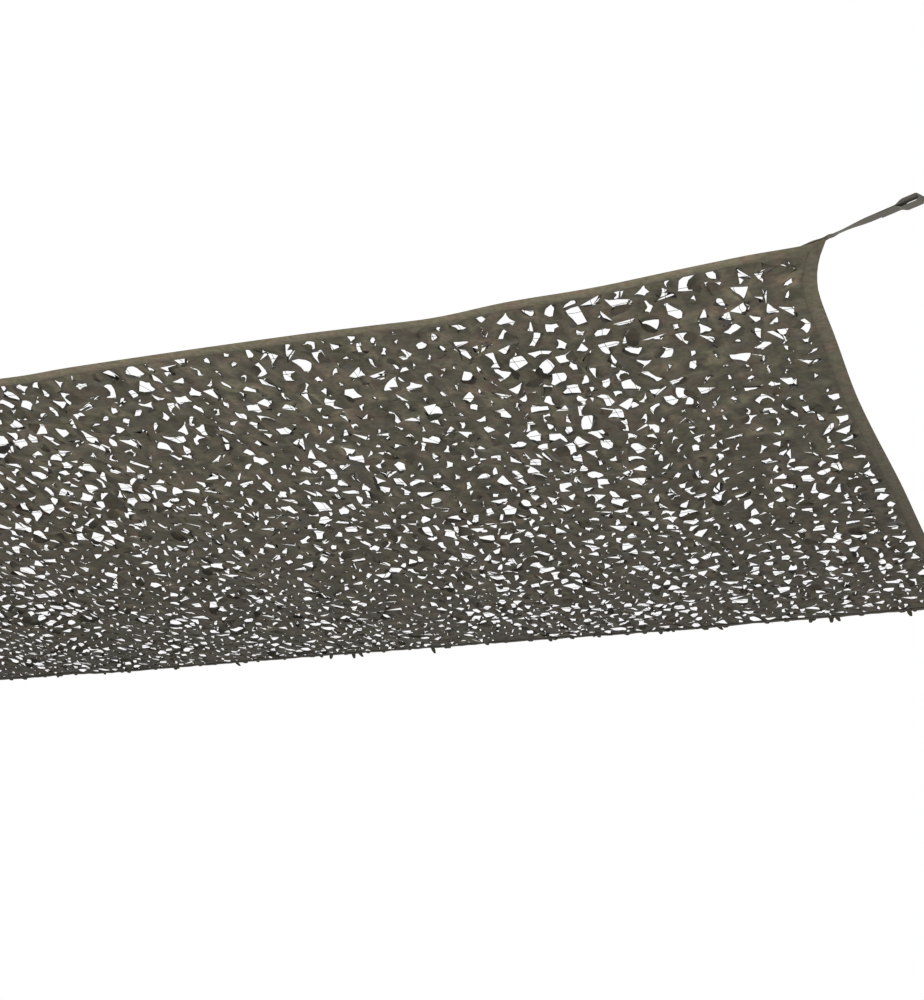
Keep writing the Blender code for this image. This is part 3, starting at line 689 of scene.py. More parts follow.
def twisted_thread(name, colour, strand):
    """Twisted polyester thread or string: matte, with light and dark strands across it."""
    made, tree = new_material(name)
    place = add_node(tree, "ShaderNodeTexCoord").outputs["Object"]
    twist = {"Scale": 1.0 / strand, "Detail": 2.0}
    strands = add_node(tree, "ShaderNodeTexNoise", twist, {"Vector": place})
    shade = toned(tree, colour, strands, (0.3, 0.7, 0.75, 1.2))
    finish_surface(tree, shade, strands, bump=(0.5, strand * 0.3), shine=(0.7, 0.4))
    return made


def painted_floor(colour):
    """Matt painted floor: plain and pale, with no pattern of its own but a faint unevenness."""
    made, tree = new_material("painted_floor")
    place = add_node(tree, "ShaderNodeTexCoord").outputs["Object"]
    unevenness = add_node(tree, "ShaderNodeTexNoise", {"Scale": 0.8}, {"Vector": place})
    limits = {"To Min": 0.85, "To Max": 0.95}
    roughness = add_node(tree, "ShaderNodeMapRange", limits, {"Value": unevenness})
    values = {"Base Color": (*colour, 1.0), "Specular IOR Level": 0.1}
    shader = add_node(tree, "ShaderNodeBsdfPrincipled", values, {"Roughness": roughness})
    add_node(tree, "ShaderNodeOutputMaterial", links={"Surface": shader})
    return made


# Meshes


def new_mesh(name, points, edges=(), faces=()):
    """A mesh of points with their edges or faces."""
    mesh = bpy.data.meshes.new(name)
    mesh.from_pydata(points, edges, faces)
    return mesh


def link_piece(name, mesh):
    """Link a mesh as a piece, in place of an earlier one, so that an operator can run again."""
    old = bpy.data.objects.get(name)
    if old is not None:
        bpy.data.objects.remove(old)
    made = bpy.data.objects.new(name, mesh)
    bpy.context.collection.objects.link(made)
    return made


def add_piece(name, mesh, finish):
    """Make a mesh a smooth-shaded piece with its finish."""
    mesh.materials.append(finish)
    mesh.shade_smooth()
    return link_piece(name, mesh)


def varied(limits, number):
    """A size from its least and how much more it may be, for a number from 0 to 1."""
    least, more = limits
    return least + more * number


def painted_shade_and_highlight(number, least, usual, rare):
    """A tone from a number from 0 to 1, seldom much lighter than it usually is: painted shade that
    varies at random, with a few painted highlights.
    """
    return least + usual * number + rare * number**SELDOM


def painted_corner_light(left, away):
    """How much paler the taut cloth is painted near a corner: painted light."""
    return 1.0 + CORNER_PAINTED_LIGHT * smooth(1.0 - from_corner(left, away) / PAINTED_LIGHT_REACH)


class Sheet:
    """Places, tones and faces of the cut cloth, gathered before they become one mesh; the tones carry
    random mottling with painted shade and light.
    """

    def __init__(self):
        self.places = []
        self.tones = []
        self.faces = []

    def add_place(self, left, away, lift, tone):
        """Add a place and its tone, and give its number."""
        self.places.append((left, away, lift))
        # The cloth is painted paler near the corners: painted light.
        self.tones.append(tone * painted_corner_light(left, away))
        return len(self.places) - 1

    def add_faces(self, *faces):
        """Add faces given anticlockwise in left and away, turned so that they face up."""
        self.faces.extend(tuple(reversed(face)) for face in faces)

    def add_ring(self, outer, inner):
        """Add the faces between two rings of as many places each."""
        for k in range(len(outer)):
            n = (k + 1) % len(outer)
            self.add_faces((outer[k], outer[n], inner[n], inner[k]))

    def to_mesh(self, name):
        """The mesh of all the places where the cloth hangs, with its tones of mottling and painted shade
        and light.
        """
        points = []
        for left, away, lift in self.places:
            x, y, z = placed(left, away, lift)
            points.append((x, y, max(z, LOWEST_CLOTH)))
        mesh = new_mesh(name, points, faces=self.faces)
        tone = mesh.attributes.new("leaf_tone", "FLOAT", "POINT")
        tone.data.foreach_set("value", self.tones)
        return mesh


def rim_points(column, row, corners):
    """Places round an opening and the side of each, with the sides bowed a little in or out."""
    count = len(corners)
    points = []
    for side, (start, end) in enumerate(zip(corners, corners[1:] + corners[:1])):
        parts = RIM_POINTS * (side + 1) // count - RIM_POINTS * side // count
        bow = SIDE_BOW * (chance(column, row, 30 + side) - BOW_INWARDS)
        run_left, run_away = end[0] - start[0], end[1] - start[1]
        for k in range(parts):
            f = k / parts
            out = 4.0 * f * (1.0 - f) * bow
            left = start[0] + f * run_left + out * run_away
            away = start[1] + f * run_away - out * run_left
            points.append((left, away, side))
    return points


def angle_from(centre, point):
    """Angle of a point round a centre, from 0 to a full turn."""
    return math.atan2(point[1] - centre[1], point[0] - centre[0]) % math.tau


def bridge(sheet, centre, outer, inner):
    """Fill the strip between two rings of points that turn the same way round a centre."""

    def turned(ring):
        steps = [(angle_from(centre, sheet.places[k]), k) for k in ring]
        start = min(range(len(steps)), key=lambda k: steps[k][0])
        return steps[start:] + steps[:start]

    outer_steps, inner_steps = turned(outer), turned(inner)
    here, within = outer_steps[-1][1], inner_steps[-1][1]
    events = [(angle, 0, k) for angle, k in outer_steps]
    events += [(angle, 1, k) for angle, k in inner_steps]
    for _, is_inner, k in sorted(events):
        if is_inner:
            sheet.add_faces((within, here, k))
            within = k
        else:
            sheet.add_faces((here, k, within))
            here = k


def add_tongue(sheet, column, row, rim, centre, looks):
    """A leaf of cloth that hangs or stands from a few of the rim's points."""
    side = TONGUE_SIDE + TONGUE_SIDE_UNEVEN * (chance(column, row, 60) - 0.5)
    turns = [angle_from(centre, sheet.places[k]) - side for k in rim]
    first = max(range(RIM_POINTS), key=lambda k: math.cos(turns[k])) - TONGUE_BASE // 2
    base = [rim[(first + k) % RIM_POINTS] for k in range(TONGUE_BASE)]
    start, end = sheet.places[base[0]], sheet.places[base[-1]]
    middle = tuple((a + b) / 2.0 for a, b in zip(start, end))
    run_left, run_away = centre[0] - middle[0], centre[1] - middle[1]
    reach = math.hypot(run_left, run_away)
    if reach < LEAST_TONGUE:
        return
    run_left, run_away = run_left / reach, run_away / reach
    half_width = math.hypot(end[0] - start[0], end[1] - start[1]) / 2.0
    length = reach * varied(TONGUE_LENGTH, chance(column, row, 61))
    steepness = looks.tongue_steepness * varied(TONGUE_SLOPE, chance(column, row, 62))
    down = -1.0 if chance(column, row, 63) < looks.tongues_down else 1.0
    # The tongues are darkened by painted shade.
    tone = varied(TONGUE_PAINTED_SHADE, chance(column, row, 64))

    def spot(out, side, drop):
        left = middle[0] + run_left * out - run_away * side
        away = middle[1] + run_away * out + run_left * side
        return sheet.add_place(left, away, middle[2] + down * drop, tone)

    bend = length * TONGUE_BEND
    past = length - bend
    steep_past = min(steepness * TONGUE_CURL, STEEPEST_TONGUE)
    bend_out, bend_drop = bend * math.cos(steepness), bend * math.sin(steepness)
    tip_out = bend_out + past * math.cos(steep_past)
    tip_drop = bend_drop + past * math.sin(steep_past)
    waist = half_width * TONGUE_WAIST
    tip = half_width * TONGUE_TIP
    a, b, c, d, e = base
    f = spot(bend_out, waist, bend_drop)
    g = spot(bend_out * RIDGE[0], 0.0, bend_drop * RIDGE[1])
    h = spot(bend_out, -waist, bend_drop)
    i, j = spot(tip_out, tip, tip_drop), spot(tip_out, -tip, tip_drop)
    sheet.add_faces((a, b, f), (b, c, g, f), (c, d, h, g), (d, e, h))
    sheet.add_faces((f, g, i), (g, j, i), (g, h, j))


def add_cell(sheet, border, column, row, looks):
    """One cell of the cut: the cloth round its opening and the opening's tongue."""
    border_places = [sheet.places[k][:2] for k in border]
    centre, corners = opening(border_places, column, row)
    points = rim_points(column, row, corners)
    half_depth = max(abs(away - centre[1]) for _, away, _ in points)
    half_width = max(abs(left - centre[0]) for left, _, _ in points)
    steady, by_openness, by_chance = LOUVRE_SHARES
    share = steady + by_openness * openness(*centre) + by_chance * (chance(column, row, 40) - 0.5)
    louvre = looks.louvre * share
    side_tilt = looks.louvre * SIDE_TILT * (chance(column, row, 41) - 0.5)
    # The leaf round the opening gets a random tone: painted shade, seldom a painted highlight.
    leaf = painted_shade_and_highlight(chance(column, row, 42), *LEAF_SHADE_AND_HIGHLIGHT)
    rim, collar = [], []
    for k, (left, away, side) in enumerate(points):
        # Each side of the opening is painted a little darker and lighter at random, like a tilted facet:
        # painted shade and light.
        facet = 1.0 + FACET_PAINTED_SHADE * (chance(column, row, 110 + side) - 0.5)
        lift = -louvre * (away - centre[1]) / half_depth
        lift += side_tilt * (left - centre[0]) / half_width
        lift += RIM_CRINKLE * (chance(column, row, 70 + k) - 0.5)
        # The cut edges are darkened by painted shade.
        tone = looks.rim_painted_shade * facet * varied(RIM_UNEVEN, chance(column, row, 90 + k))
        rim.append(sheet.add_place(left, away, lift, tone))
        reach = min(reach_to_ring(centre, (left, away), border_places), FARTHEST_SIDE)
        out = 1.0 + COLLAR * (reach - 1.0)
        collar_left = centre[0] + out * (left - centre[0])
        collar_away = centre[1] + out * (away - centre[1])
        collar_lift = lift * COLLAR_LIFT
        collar.append(sheet.add_place(collar_left, collar_away, collar_lift, leaf * facet))
    bridge(sheet, centre, border, collar)
    sheet.add_ring(collar, rim)
    add_tongue(sheet, column, row, rim, centre, looks)


def outer_shares():
    """Shares along the two sides of the cut's outline, once round it."""
    along = [k / LAST_LINE for k in range(LAST_LINE)]
    deep = [k / LAST_HALF_ROW for k in range(LAST_HALF_ROW)]
    ring = [(s, 0.0) for s in along]
    ring += [(1.0, s) for s in deep]
    ring += [(1.0 - s, 1.0) for s in along]
    ring += [(0.0, 1.0 - s) for s in deep]
    return ring


def is_far(u, v):
    """Whether a place of the outline is on the far edge."""
    return v == 1.0 and 0.0 < u < 1.0


def edge_wave(k, u, v):
    """How far the far edge stands up or down at the outline's place k."""
    return EDGE_WAVE * (chance(k, 0, 80) - 0.5) if is_far(u, v) else 0.0


def add_hem(sheet, lattice):
    """The cloth's plain edge, folded under and turned in at its end."""
    shares = outer_shares()
    ring = [lattice[round(u * LAST_LINE), round(v * LAST_HALF_ROW)] for u, v in shares]
    for inset, level, tone in HEM_RINGS:
        outer = []
        for k, (u, v) in enumerate(shares):
            left, away = inset_place(inset, u, v)
            run_left, run_away = min(u, 1.0 - u) * SAIL_LENGTH, min(v, 1.0 - v) * SAIL_DEPTH
            calm = smooth(math.hypot(run_left, run_away) / HEM_DARK)
            calm *= SIDE_HEM_EFFECT if 0.0 < v < 1.0 else 1.0
            # The ring's tone: lighter towards the folded edge, painted shade at the inner edge and
            # turned-in end.
            shade = 1.0 + (tone - 1.0) * calm
            # The far edge's hem is darkened by painted shade.
            shade *= FAR_HEM_PAINTED_SHADE if is_far(u, v) else 1.0
            outer.append(sheet.add_place(left, away, level + edge_wave(k, u, v), shade))
        sheet.add_ring(outer, ring)
        ring = outer


def add_tip(sheet, left, length, lean, width):
    """A leaf tip that is caught in the far hem and hangs under its edge."""
    root_left, root_away = plan(left / SAIL_LENGTH, 1.0 - TIP_IN / SAIL_DEPTH)
    rows = []
    for down, narrowing in TIP_SHAPE:
        middle = root_left + lean * length * down
        half = 0.5 * width * narrowing
        away, lift = root_away + TIP_OUT * down, HEM_UNDER - length * down
        # Each tip is darkened by painted shade.
        rows.append([sheet.add_place(middle + s * half, away, lift, TIP_PAINTED_SHADE) for s in (-1, 1)])
    for (a, b), (d, c) in zip(rows, rows[1:]):
        sheet.add_faces((a, b, c, d))


def add_hanging_tips(sheet):
    """The large leaf tips under the far edge, and the small ones all along it."""
    for left, length, lean in HANGING_TIPS:
        add_tip(sheet, left, length, lean, TIP_WIDTH)
    for k in range(SMALL_TIPS):
        share = (k + chance(k, 0, 81)) / SMALL_TIPS
        left = SMALL_TIPS_IN + share * (SAIL_LENGTH - 2.0 * SMALL_TIPS_IN)
        length = varied(SMALL_TIP_LENGTH, chance(k, 0, 82))
        width = TIP_WIDTH * varied(SMALL_TIP_WIDTH, chance(k, 0, 84))
        add_tip(sheet, left, length, chance(k, 0, 83) - 0.5, width)


# Geometry Nodes for what repeats


def new_node_group(name, sizes):
    """A Geometry Nodes tree with a path mesh, named sizes and a material as its inputs."""
    tree = bpy.data.node_groups.new(name, "GeometryNodeTree")
    sockets = [("Paths", "Geometry"), *((size, "Float") for size in sizes), ("Finish", "Material")]
    for socket, kind in sockets:
        tree.interface.new_socket(socket, in_out="INPUT", socket_type=f"NodeSocket{kind}")
    tree.interface.new_socket("Mesh", in_out="OUTPUT", socket_type="NodeSocketGeometry")
    return tree, add_node(tree, "NodeGroupInput").outputs


def finish_node_group(tree, geometry, finish):
    """End a tree in real meshes with their material."""
    real = add_node(tree, "GeometryNodeRealizeInstances", links={"Geometry": geometry})
    links = {"Geometry": real, "Material": finish}
    coloured = add_node(tree, "GeometryNodeSetMaterial", links=links)
    add_node(tree, "NodeGroupOutput", links={"Mesh": coloured})


def round_section(tree, thickness):
    """The round section of a thread or string of a given thickness."""
    radius = add_node(tree, "ShaderNodeMath", {1: 0.5}, {0: thickness}, operation="MULTIPLY")
    values, links = {"Resolution": STRING_SIDES}, {"Radius": radius}
    return add_node(tree, "GeometryNodeCurvePrimitiveCircle", values, links)


def netting_tree():
    """Strings along the paths' edges, and a knot at each marked point."""
    tree, given = new_node_group("knotted_netting", ("String Thickness", "Knot Size"))
    lines = add_node(tree, "GeometryNodeMeshToCurve", links={"Mesh": given["Paths"]})
    links = {"Curve": lines, "Profile Curve": round_section(tree, given["String Thickness"])}
    strings = add_node(tree, "GeometryNodeCurveToMesh", links=links)
    name = {"Name": "knot"}
    marked = add_node(tree, "GeometryNodeInputNamedAttribute", name, data_type="BOOLEAN")
    links = {"Mesh": given["Paths"], "Selection": marked}
    points = add_node(tree, "GeometryNodeMeshToPoints", links=links)
    links = {0: given["Knot Size"]}
    radius = add_node(tree, "ShaderNodeMath", {1: 0.5}, links, operation="MULTIPLY")
    knot = add_node(tree, "GeometryNodeMeshIcoSphere", {"Subdivisions": 1}, {"Radius": radius})
    links = {"Points": points, "Instance": knot}
    knots = add_node(tree, "GeometryNodeInstanceOnPoints", {"Scale": KNOT_SHAPE}, links)
    joined = add_node(tree, "GeometryNodeJoinGeometry", links={"Geometry": strings})
    tree.links.new(knots.outputs["Instances"], joined.inputs["Geometry"])
    finish_node_group(tree, joined, given["Finish"])
    return tree


def stitching_tree():
    """Short arched stitches, evenly spaced along each path."""
    tree, given = new_node_group("seam_stitches", ("Stitch Pitch", "Stitch Length", "Thread"))
    lines = add_node(tree, "GeometryNodeMeshToCurve", links={"Mesh": given["Paths"]})
    links = {"Curve": lines, "Length": given["Stitch Pitch"]}
    spaced = add_node(tree, "GeometryNodeResampleCurve", links=links, mode="LENGTH")
    links = {"Curve": spaced}
    points = add_node(tree, "GeometryNodeCurveToPoints", links=links, mode="EVALUATED")
    length = {0: given["Stitch Length"]}
    ends = []
    for share in (-0.5, 0.5):
        reach = add_node(tree, "ShaderNodeMath", {1: share}, length, operation="MULTIPLY")
        ends.append(add_node(tree, "ShaderNodeCombineXYZ", links={"X": reach}))
    start, end = ends
    crown = add_node(tree, "ShaderNodeCombineXYZ", links={"Z": given["Thread"]})
    links = {"Start": start, "Middle": crown, "End": end}
    arch = add_node(tree, "GeometryNodeCurveQuadraticBezier", {"Resolution": ARCH_PARTS}, links)
    links = {"Curve": arch, "Profile Curve": round_section(tree, given["Thread"])}
    stitch = add_node(tree, "GeometryNodeCurveToMesh", {"Fill Caps": True}, links)
    links = {"Vector": points.outputs["Tangent"]}
    kind = "FunctionNodeAlignRotationToVector"
    turn = add_node(tree, kind, links=links, axis="X", pivot_axis="Z")
    links = {"Points": points, "Instance": stitch, "Rotation": turn}
    stitches = add_node(tree, "GeometryNodeInstanceOnPoints", links=links)
    finish_node_group(tree, stitches, given["Finish"])
    return tree


def run_node_group(name, paths, tree, sizes, finish):
    """Run a tree on a mesh of paths and keep the result as a plain mesh."""
    made = link_piece(name, paths)
    modifier = made.modifiers.new(tree.name, "NODES")
    modifier.node_group = tree
    given = {**sizes, "Finish": finish}
    for item in tree.interface.items_tree:
        if item.in_out == "INPUT" and item.name in given:
            modifier[item.identifier] = given[item.name]
    evaluated = made.evaluated_get(bpy.context.evaluated_depsgraph_get())
    mesh = bpy.data.meshes.new_from_object(evaluated)
    made.modifiers.remove(modifier)
    made.data = mesh
    if not mesh.polygons:
        raise RuntimeError(f"{name} came out empty")
    return made


def sew(name, paths, pitch, thread, looks):
    """Sew stitches a pitch apart along the paths, in a finish of the thread's name."""
    sizes = {
        "Stitch Pitch": pitch,
        "Stitch Length": pitch * STITCH_SHARE,
        "Thread": looks.thread_thickness,
    }
    finish = twisted_thread(thread, looks.thread_colour, THREAD_STRAND)
    stitches = run_node_group(name, paths, stitching_tree(), sizes, finish)
    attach(stitches, "root")


# Straps


def strap_stations():
    """Middle line of the webbing from the lap, round the eye and back, as in the solid."""
    up, down = math.pi / 2.0, -math.pi / 2.0
    drop = STRAP_THICK + SEAT_GAP
    radius = EYE_RISE + HALF_THICK
    middle = -drop / 2.0
    eye_end = STRAP_RUN + EYE_STRAIGHT / 2.0
    path = [(-STRAP_LAP * (1.0 - k / LAP_PARTS), 0.0, up) for k in range(LAP_PARTS)]
    stops = (0.0, *TWIST_AT, TAPER_START)
    for start, end in zip(stops, stops[1:]):
        parts = math.ceil((end - start) / RUN_STEP)
        path += [(start + (end - start) * k / parts, 0.0, up) for k in range(parts)]
    path.append((TAPER_START, 0.0, up))
    for k in range(1, TAPER_PARTS + 1):
        ease = 0.5 - 0.5 * math.cos(math.pi * k / TAPER_PARTS)
        path.append((TAPER_START + EYE_TAPER * k / TAPER_PARTS, ease * (middle + radius), up))
    path.append((eye_end, middle + radius, up))
    for facet in range(1, EYE_FACETS):
        turn = up - math.pi * facet / EYE_FACETS
        path.append((eye_end + radius * math.cos(turn), middle + radius * math.sin(turn), turn))
    path.append((eye_end, middle - radius, down))
    for k in range(TAPER_PARTS + 1):
        ease = 0.5 - 0.5 * math.cos(math.pi * k / TAPER_PARTS)
        level = (middle - radius) + ease * (radius + middle)
        path.append((eye_end - EYE_STRAIGHT - EYE_TAPER * k / TAPER_PARTS, level, down))
    path += [(TAPER_START - FOLD_BACK * k / LAP_PARTS, -drop, down) for k in range(1, LAP_PARTS + 1)]
    return path


def strap_twist(distance):
    """Turn of the webbing about its own line at a distance out from the cloth's tip."""
    start, full, easing, end = TWIST_AT
    rise = smooth((distance - start) / (full - start))
    return STRAP_TWIST * rise * smooth((end - distance) / (end - easing))


class StrapPlace:
    """Where one corner's strap runs, and the points of its webbing."""

    def __init__(self, tip_left, tip_away):
        side_x = 1.0 if tip_left < SAIL_LENGTH / 2.0 else -1.0
        side_y = -1.0 if tip_away == 0.0 else 1.0
        turn = (side_x * math.cos(STRAP_TURN), side_y * math.sin(STRAP_TURN), 0.0)
        self.outwards = Vector(turn)
        self.across = Vector((-self.outwards.y, self.outwards.x, 0.0))
        self.tip = Vector((-TIP_LEFT - tip_left, TIP_AWAY + tip_away, 0.0))
        self.tip_level = height(tip_left, tip_away)
        self.inwards = -side_x * side_y

    def point(self, distance, half, rise, facing, side):
        """A point of the webbing: half is across it, and side is out from its middle line."""
        seat = HEM_THICK / 2.0 + LAP_GAP + HALF_THICK
        eye_level = (STRAP_THICK + SEAT_GAP) / 2.0
        share = min(max(distance / STRAP_RUN, 0.0), 1.0)
        ease = smooth(share)
        twist = self.inwards * strap_twist(distance)
        shift = self.inwards * LAP_IN * (1.0 - share)
        half *= 1.0 - GATHER * smooth(1.0 - abs(distance) / GATHER_REACH)
        spot = self.tip + self.outwards * distance + self.across * (shift + half)
        if distance <= 0.0:
            level = height(-TIP_LEFT - spot.x, spot.y - TIP_AWAY) + seat
        else:
            level = self.tip_level + seat + ease * (eye_level - seat) + half * math.tan(twist)
        reach = self.outwards * (side * math.cos(facing))
        return spot + reach + Vector((0.0, 0.0, level + rise + side * math.sin(facing)))


def squarish(share):
    """Push a round section's share of its half size out towards a square section's."""
    return math.copysign(abs(share) ** SECTION_FLATNESS, share)


def webbing_mesh(name, strap):
    """Closed webbing with rounded sides, and its run laid out in metres for the weave."""
    section = []
    for k in range(SECTION_POINTS):
        turn = math.tau * k / SECTION_POINTS
        wide, thick = squarish(math.cos(turn)), squarish(math.sin(turn))
        section.append((wide * STRAP_WIDTH / 2.0, thick * HALF_THICK))
    points, runs = [], []
    run = 0.0
    stations = strap_stations()
    for k, (distance, rise, facing) in enumerate(stations):
        if k:
            before = stations[k - 1]
            run += math.hypot(distance - before[0], rise - before[1])
        runs.append(run)
        points += [strap.point(distance, half, rise, facing, side) for half, side in section]
    count = SECTION_POINTS
    faces = []
    for k in range(len(stations) - 1):
        for s in range(count):
            n = (s + 1) % count
            faces.append((k * count + s, k * count + n, (k + 1) * count + n, (k + 1) * count + s))
    last = (len(stations) - 1) * count
    faces.append(tuple(reversed(range(count))))
    faces.append(tuple(range(last, last + count)))
    mesh = new_mesh(name, points, faces=faces)
    layer = mesh.uv_layers.new(name="webbing_run")
    for loop in mesh.loops:
        station, s = divmod(loop.vertex_index, count)
        layer.data[loop.index].uv = (runs[station], section[s][0])
    return mesh


def corner_places():
    """The four corners' names with their straps' places."""
    for side, share_left in (("right", 0.0), ("left", 1.0)):
        for edge, share_away in (("near", 0.0), ("far", 1.0)):
            flare = FAR_FLARE * share_away * (2.0 * share_left - 1.0)
            tip_left = share_left * SAIL_LENGTH + flare
            yield f"{edge}_{side}", StrapPlace(tip_left, share_away * SAIL_DEPTH)


def strap_stitch_paths():
    """A stitched box with its cross on each strap's lap, and one behind each eye."""
    points, edges = [], []
    lap = (-STRAP_LAP + BOX_IN, -BOX_IN)
    behind_eye = (TAPER_START - FOLD_BACK + BOX_IN, TAPER_START - BOX_IN)
    half = STRAP_WIDTH / 2.0 - BOX_IN
    for _, strap in corner_places():
        for start, end in (lap, behind_eye):
            corners = [(start, -half), (end, -half), (end, half), (start, half)]
            for a, b in BOX_LINES:
                line = list(zip(corners[a], corners[b]))
                first = len(points)
                for k in range(BOX_PARTS + 1):
                    distance, across = (p + k / BOX_PARTS * (q - p) for p, q in line)
                    points.append(strap.point(distance, across, 0.0, math.pi / 2.0, HALF_THICK))
                edges += [(first + k, first + k + 1) for k in range(BOX_PARTS)]
    return new_mesh("strap_seams", points, edges)


# Operators


def length_setting(name, description, default):
    """A length that a user may change, down to a tenth of its default."""
    least = default / 10.0
    return FloatProperty(name=name, description=description, default=default, min=least, unit="LENGTH")


def factor_setting(name, description, default, most=1.0):
    """A share or factor that a user may change."""
    return FloatProperty(
        name=name, description=description, default=default, min=0.0, max=most, subtype="FACTOR"
    )


def colour_setting(name, description, hex_colour):
    """A colour that a user may change, from its sRGB hex value."""
    return FloatVectorProperty(
        name=name,
        description=description,
        default=linear(hex_colour),
        min=0.0,
        max=1.0,
        subtype="COLOR",
    )


class ShadeSailSettings(bpy.types.PropertyGroup):
    """Sizes and colours of the sail's finer pieces."""

    louvre: length_setting("Louvre", "Height of a middling opening's near side over its middle", 0.0085)
    tongue_steepness: FloatProperty(
        name="Tongue Steepness",
        description="Slope of a middling tongue out of the cloth",
        default=math.radians(35.0),
        subtype="ANGLE",
    )
    # Painted shade that darkens the cut edges round each opening, to the cloth's tone.
    rim_painted_shade: factor_setting("Rim Tone", "Tone of the cut edges, to that of the cloth", 0.62, most=1.5)
    tongues_down: factor_setting("Tongues Down", "Share of the tongues that hang below the cloth", 0.75)
    string_thickness: length_setting("String Thickness", "Thickness of the netting's string", 0.0013)
    knot_size: length_setting("Knot Size", "Width of the netting's knots", 0.0034)
    thread_thickness: length_setting("Thread Thickness", "Thickness of the sewing thread", 0.0006)
    hem_stitch_pitch: length_setting("Hem Stitch Pitch", "From one hem stitch to the next", 0.0070)
    strap_stitch_pitch: length_setting("Strap Stitch Pitch", "From one strap stitch to the next", 0.0038)
    cloth_drab: colour_setting("Drab", "Middle colour of the cloth's print", 0x3E3A2E)
    cloth_olive: colour_setting("Olive", "Greenish mottles of the cloth's print", 0x3B382B)
    cloth_brown: colour_setting("Brown", "Reddish mottles of the cloth's print", 0x42392E)
    webbing_colour: colour_setting("Webbing", "Colour of the corner straps", 0x46433A)
    string_colour: colour_setting("String", "Colour of the string netting", 0x3A3832)
    thread_colour: colour_setting("Thread", "Colour of the sewing thread", 0x4C493E)
    floor_colour: colour_setting("Floor", "Colour of the stage's floor", 0xC9C8C5)


class SHADESAIL_OT_stage(bpy.types.Operator):
    """Set the camera, the pale floor and the soft light"""

    bl_idname = "shade_sail.stage"
    bl_label = "Stage"

    def execute(self, context):
        looks = context.scene.shade_sail
        lens = bpy.data.cameras.new("camera")
        lens.lens = CAMERA_LENS
        camera = bpy.data.objects.new("camera", lens)
        camera.location = CAMERA_PLACE
        camera.rotation_euler = (math.pi / 2.0 + CAMERA_PITCH, 0.0, CAMERA_HEADING)
        context.collection.objects.link(camera)
        context.scene.camera = camera

        world = bpy.data.worlds.new("white_studio")
        world.use_nodes = True
        world.node_tree.nodes["Background"].inputs["Color"].default_value = (1.0, 1.0, 1.0, 1.0)
        context.scene.world = world
        context.scene.view_settings.view_transform = "Standard"

        centre_x, centre_y, level = FLOOR_PLACE
        rim = []
        for k in range(FLOOR_SIDES):
            turn = math.tau * k / FLOOR_SIDES
            x = centre_x + FLOOR_RADIUS * math.cos(turn)
            rim.append((x, centre_y + FLOOR_RADIUS * math.sin(turn), level))
        disc = new_mesh("floor", rim, faces=[tuple(range(FLOOR_SIDES))])
        add_piece("floor", disc, painted_floor(looks.floor_colour))

        panel = bpy.data.lights.new("soft_panel", "AREA")
        panel.shape = "RECTANGLE"
        panel.size = PANEL_LONG
        panel.size_y = PANEL_HIGH
        panel.energy = PANEL_WATTS
        panel.spread = PANEL_SPREAD
        light = bpy.data.objects.new("soft_panel", panel)
        light.location = PANEL_PLACE
        light.visible_camera = False
        aim = Vector(PANEL_AIM) - light.location
        light.rotation_euler = aim.to_track_quat("-Z", "Y").to_euler()
        context.collection.objects.link(light)
        return {"FINISHED"}


class SHADESAIL_OT_net_cloth(bpy.types.Operator):
    """Build the leaf-cut cloth with its tongues and its turned hem"""

    bl_idname = "shade_sail.net_cloth"
    bl_label = "Leaf-Cut Cloth"

    def execute(self, context):
        looks = context.scene.shade_sail
        sheet = Sheet()
        lattice = {}
        for line in range(LAST_LINE + 1):
            for half_row in range(LAST_HALF_ROW + 1):
                lift = CELL_LIFT * (chance(line, half_row, 52) - 0.5)
                if line in (0, LAST_LINE) or half_row in (0, LAST_HALF_ROW):
                    lift = 0.0
                # Random tone of this meeting point: painted shade, seldom a painted highlight.
                tone = painted_shade_and_highlight(chance(line, half_row, 53), *LATTICE_SHADE_AND_HIGHLIGHT)
                place = sheet.add_place(*lattice_place(line, half_row), lift, tone)
                lattice[line, half_row] = place
        for column in range(COLUMNS):
            for row in range(ROWS):
                border = [lattice[point] for point in cell_points(column, row)]
                add_cell(sheet, border, column, row, looks)
            border = [lattice[point] for point in filler_points(column)]
            add_cell(sheet, border, column, ROWS, looks)
        add_hem(sheet, lattice)
        add_hanging_tips(sheet)
        cloth = add_piece("net_cloth", sheet.to_mesh("net_cloth"), printed_polyester_cloth(looks))
        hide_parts("net_sail")
        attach(cloth, "root")
        return {"FINISHED"}


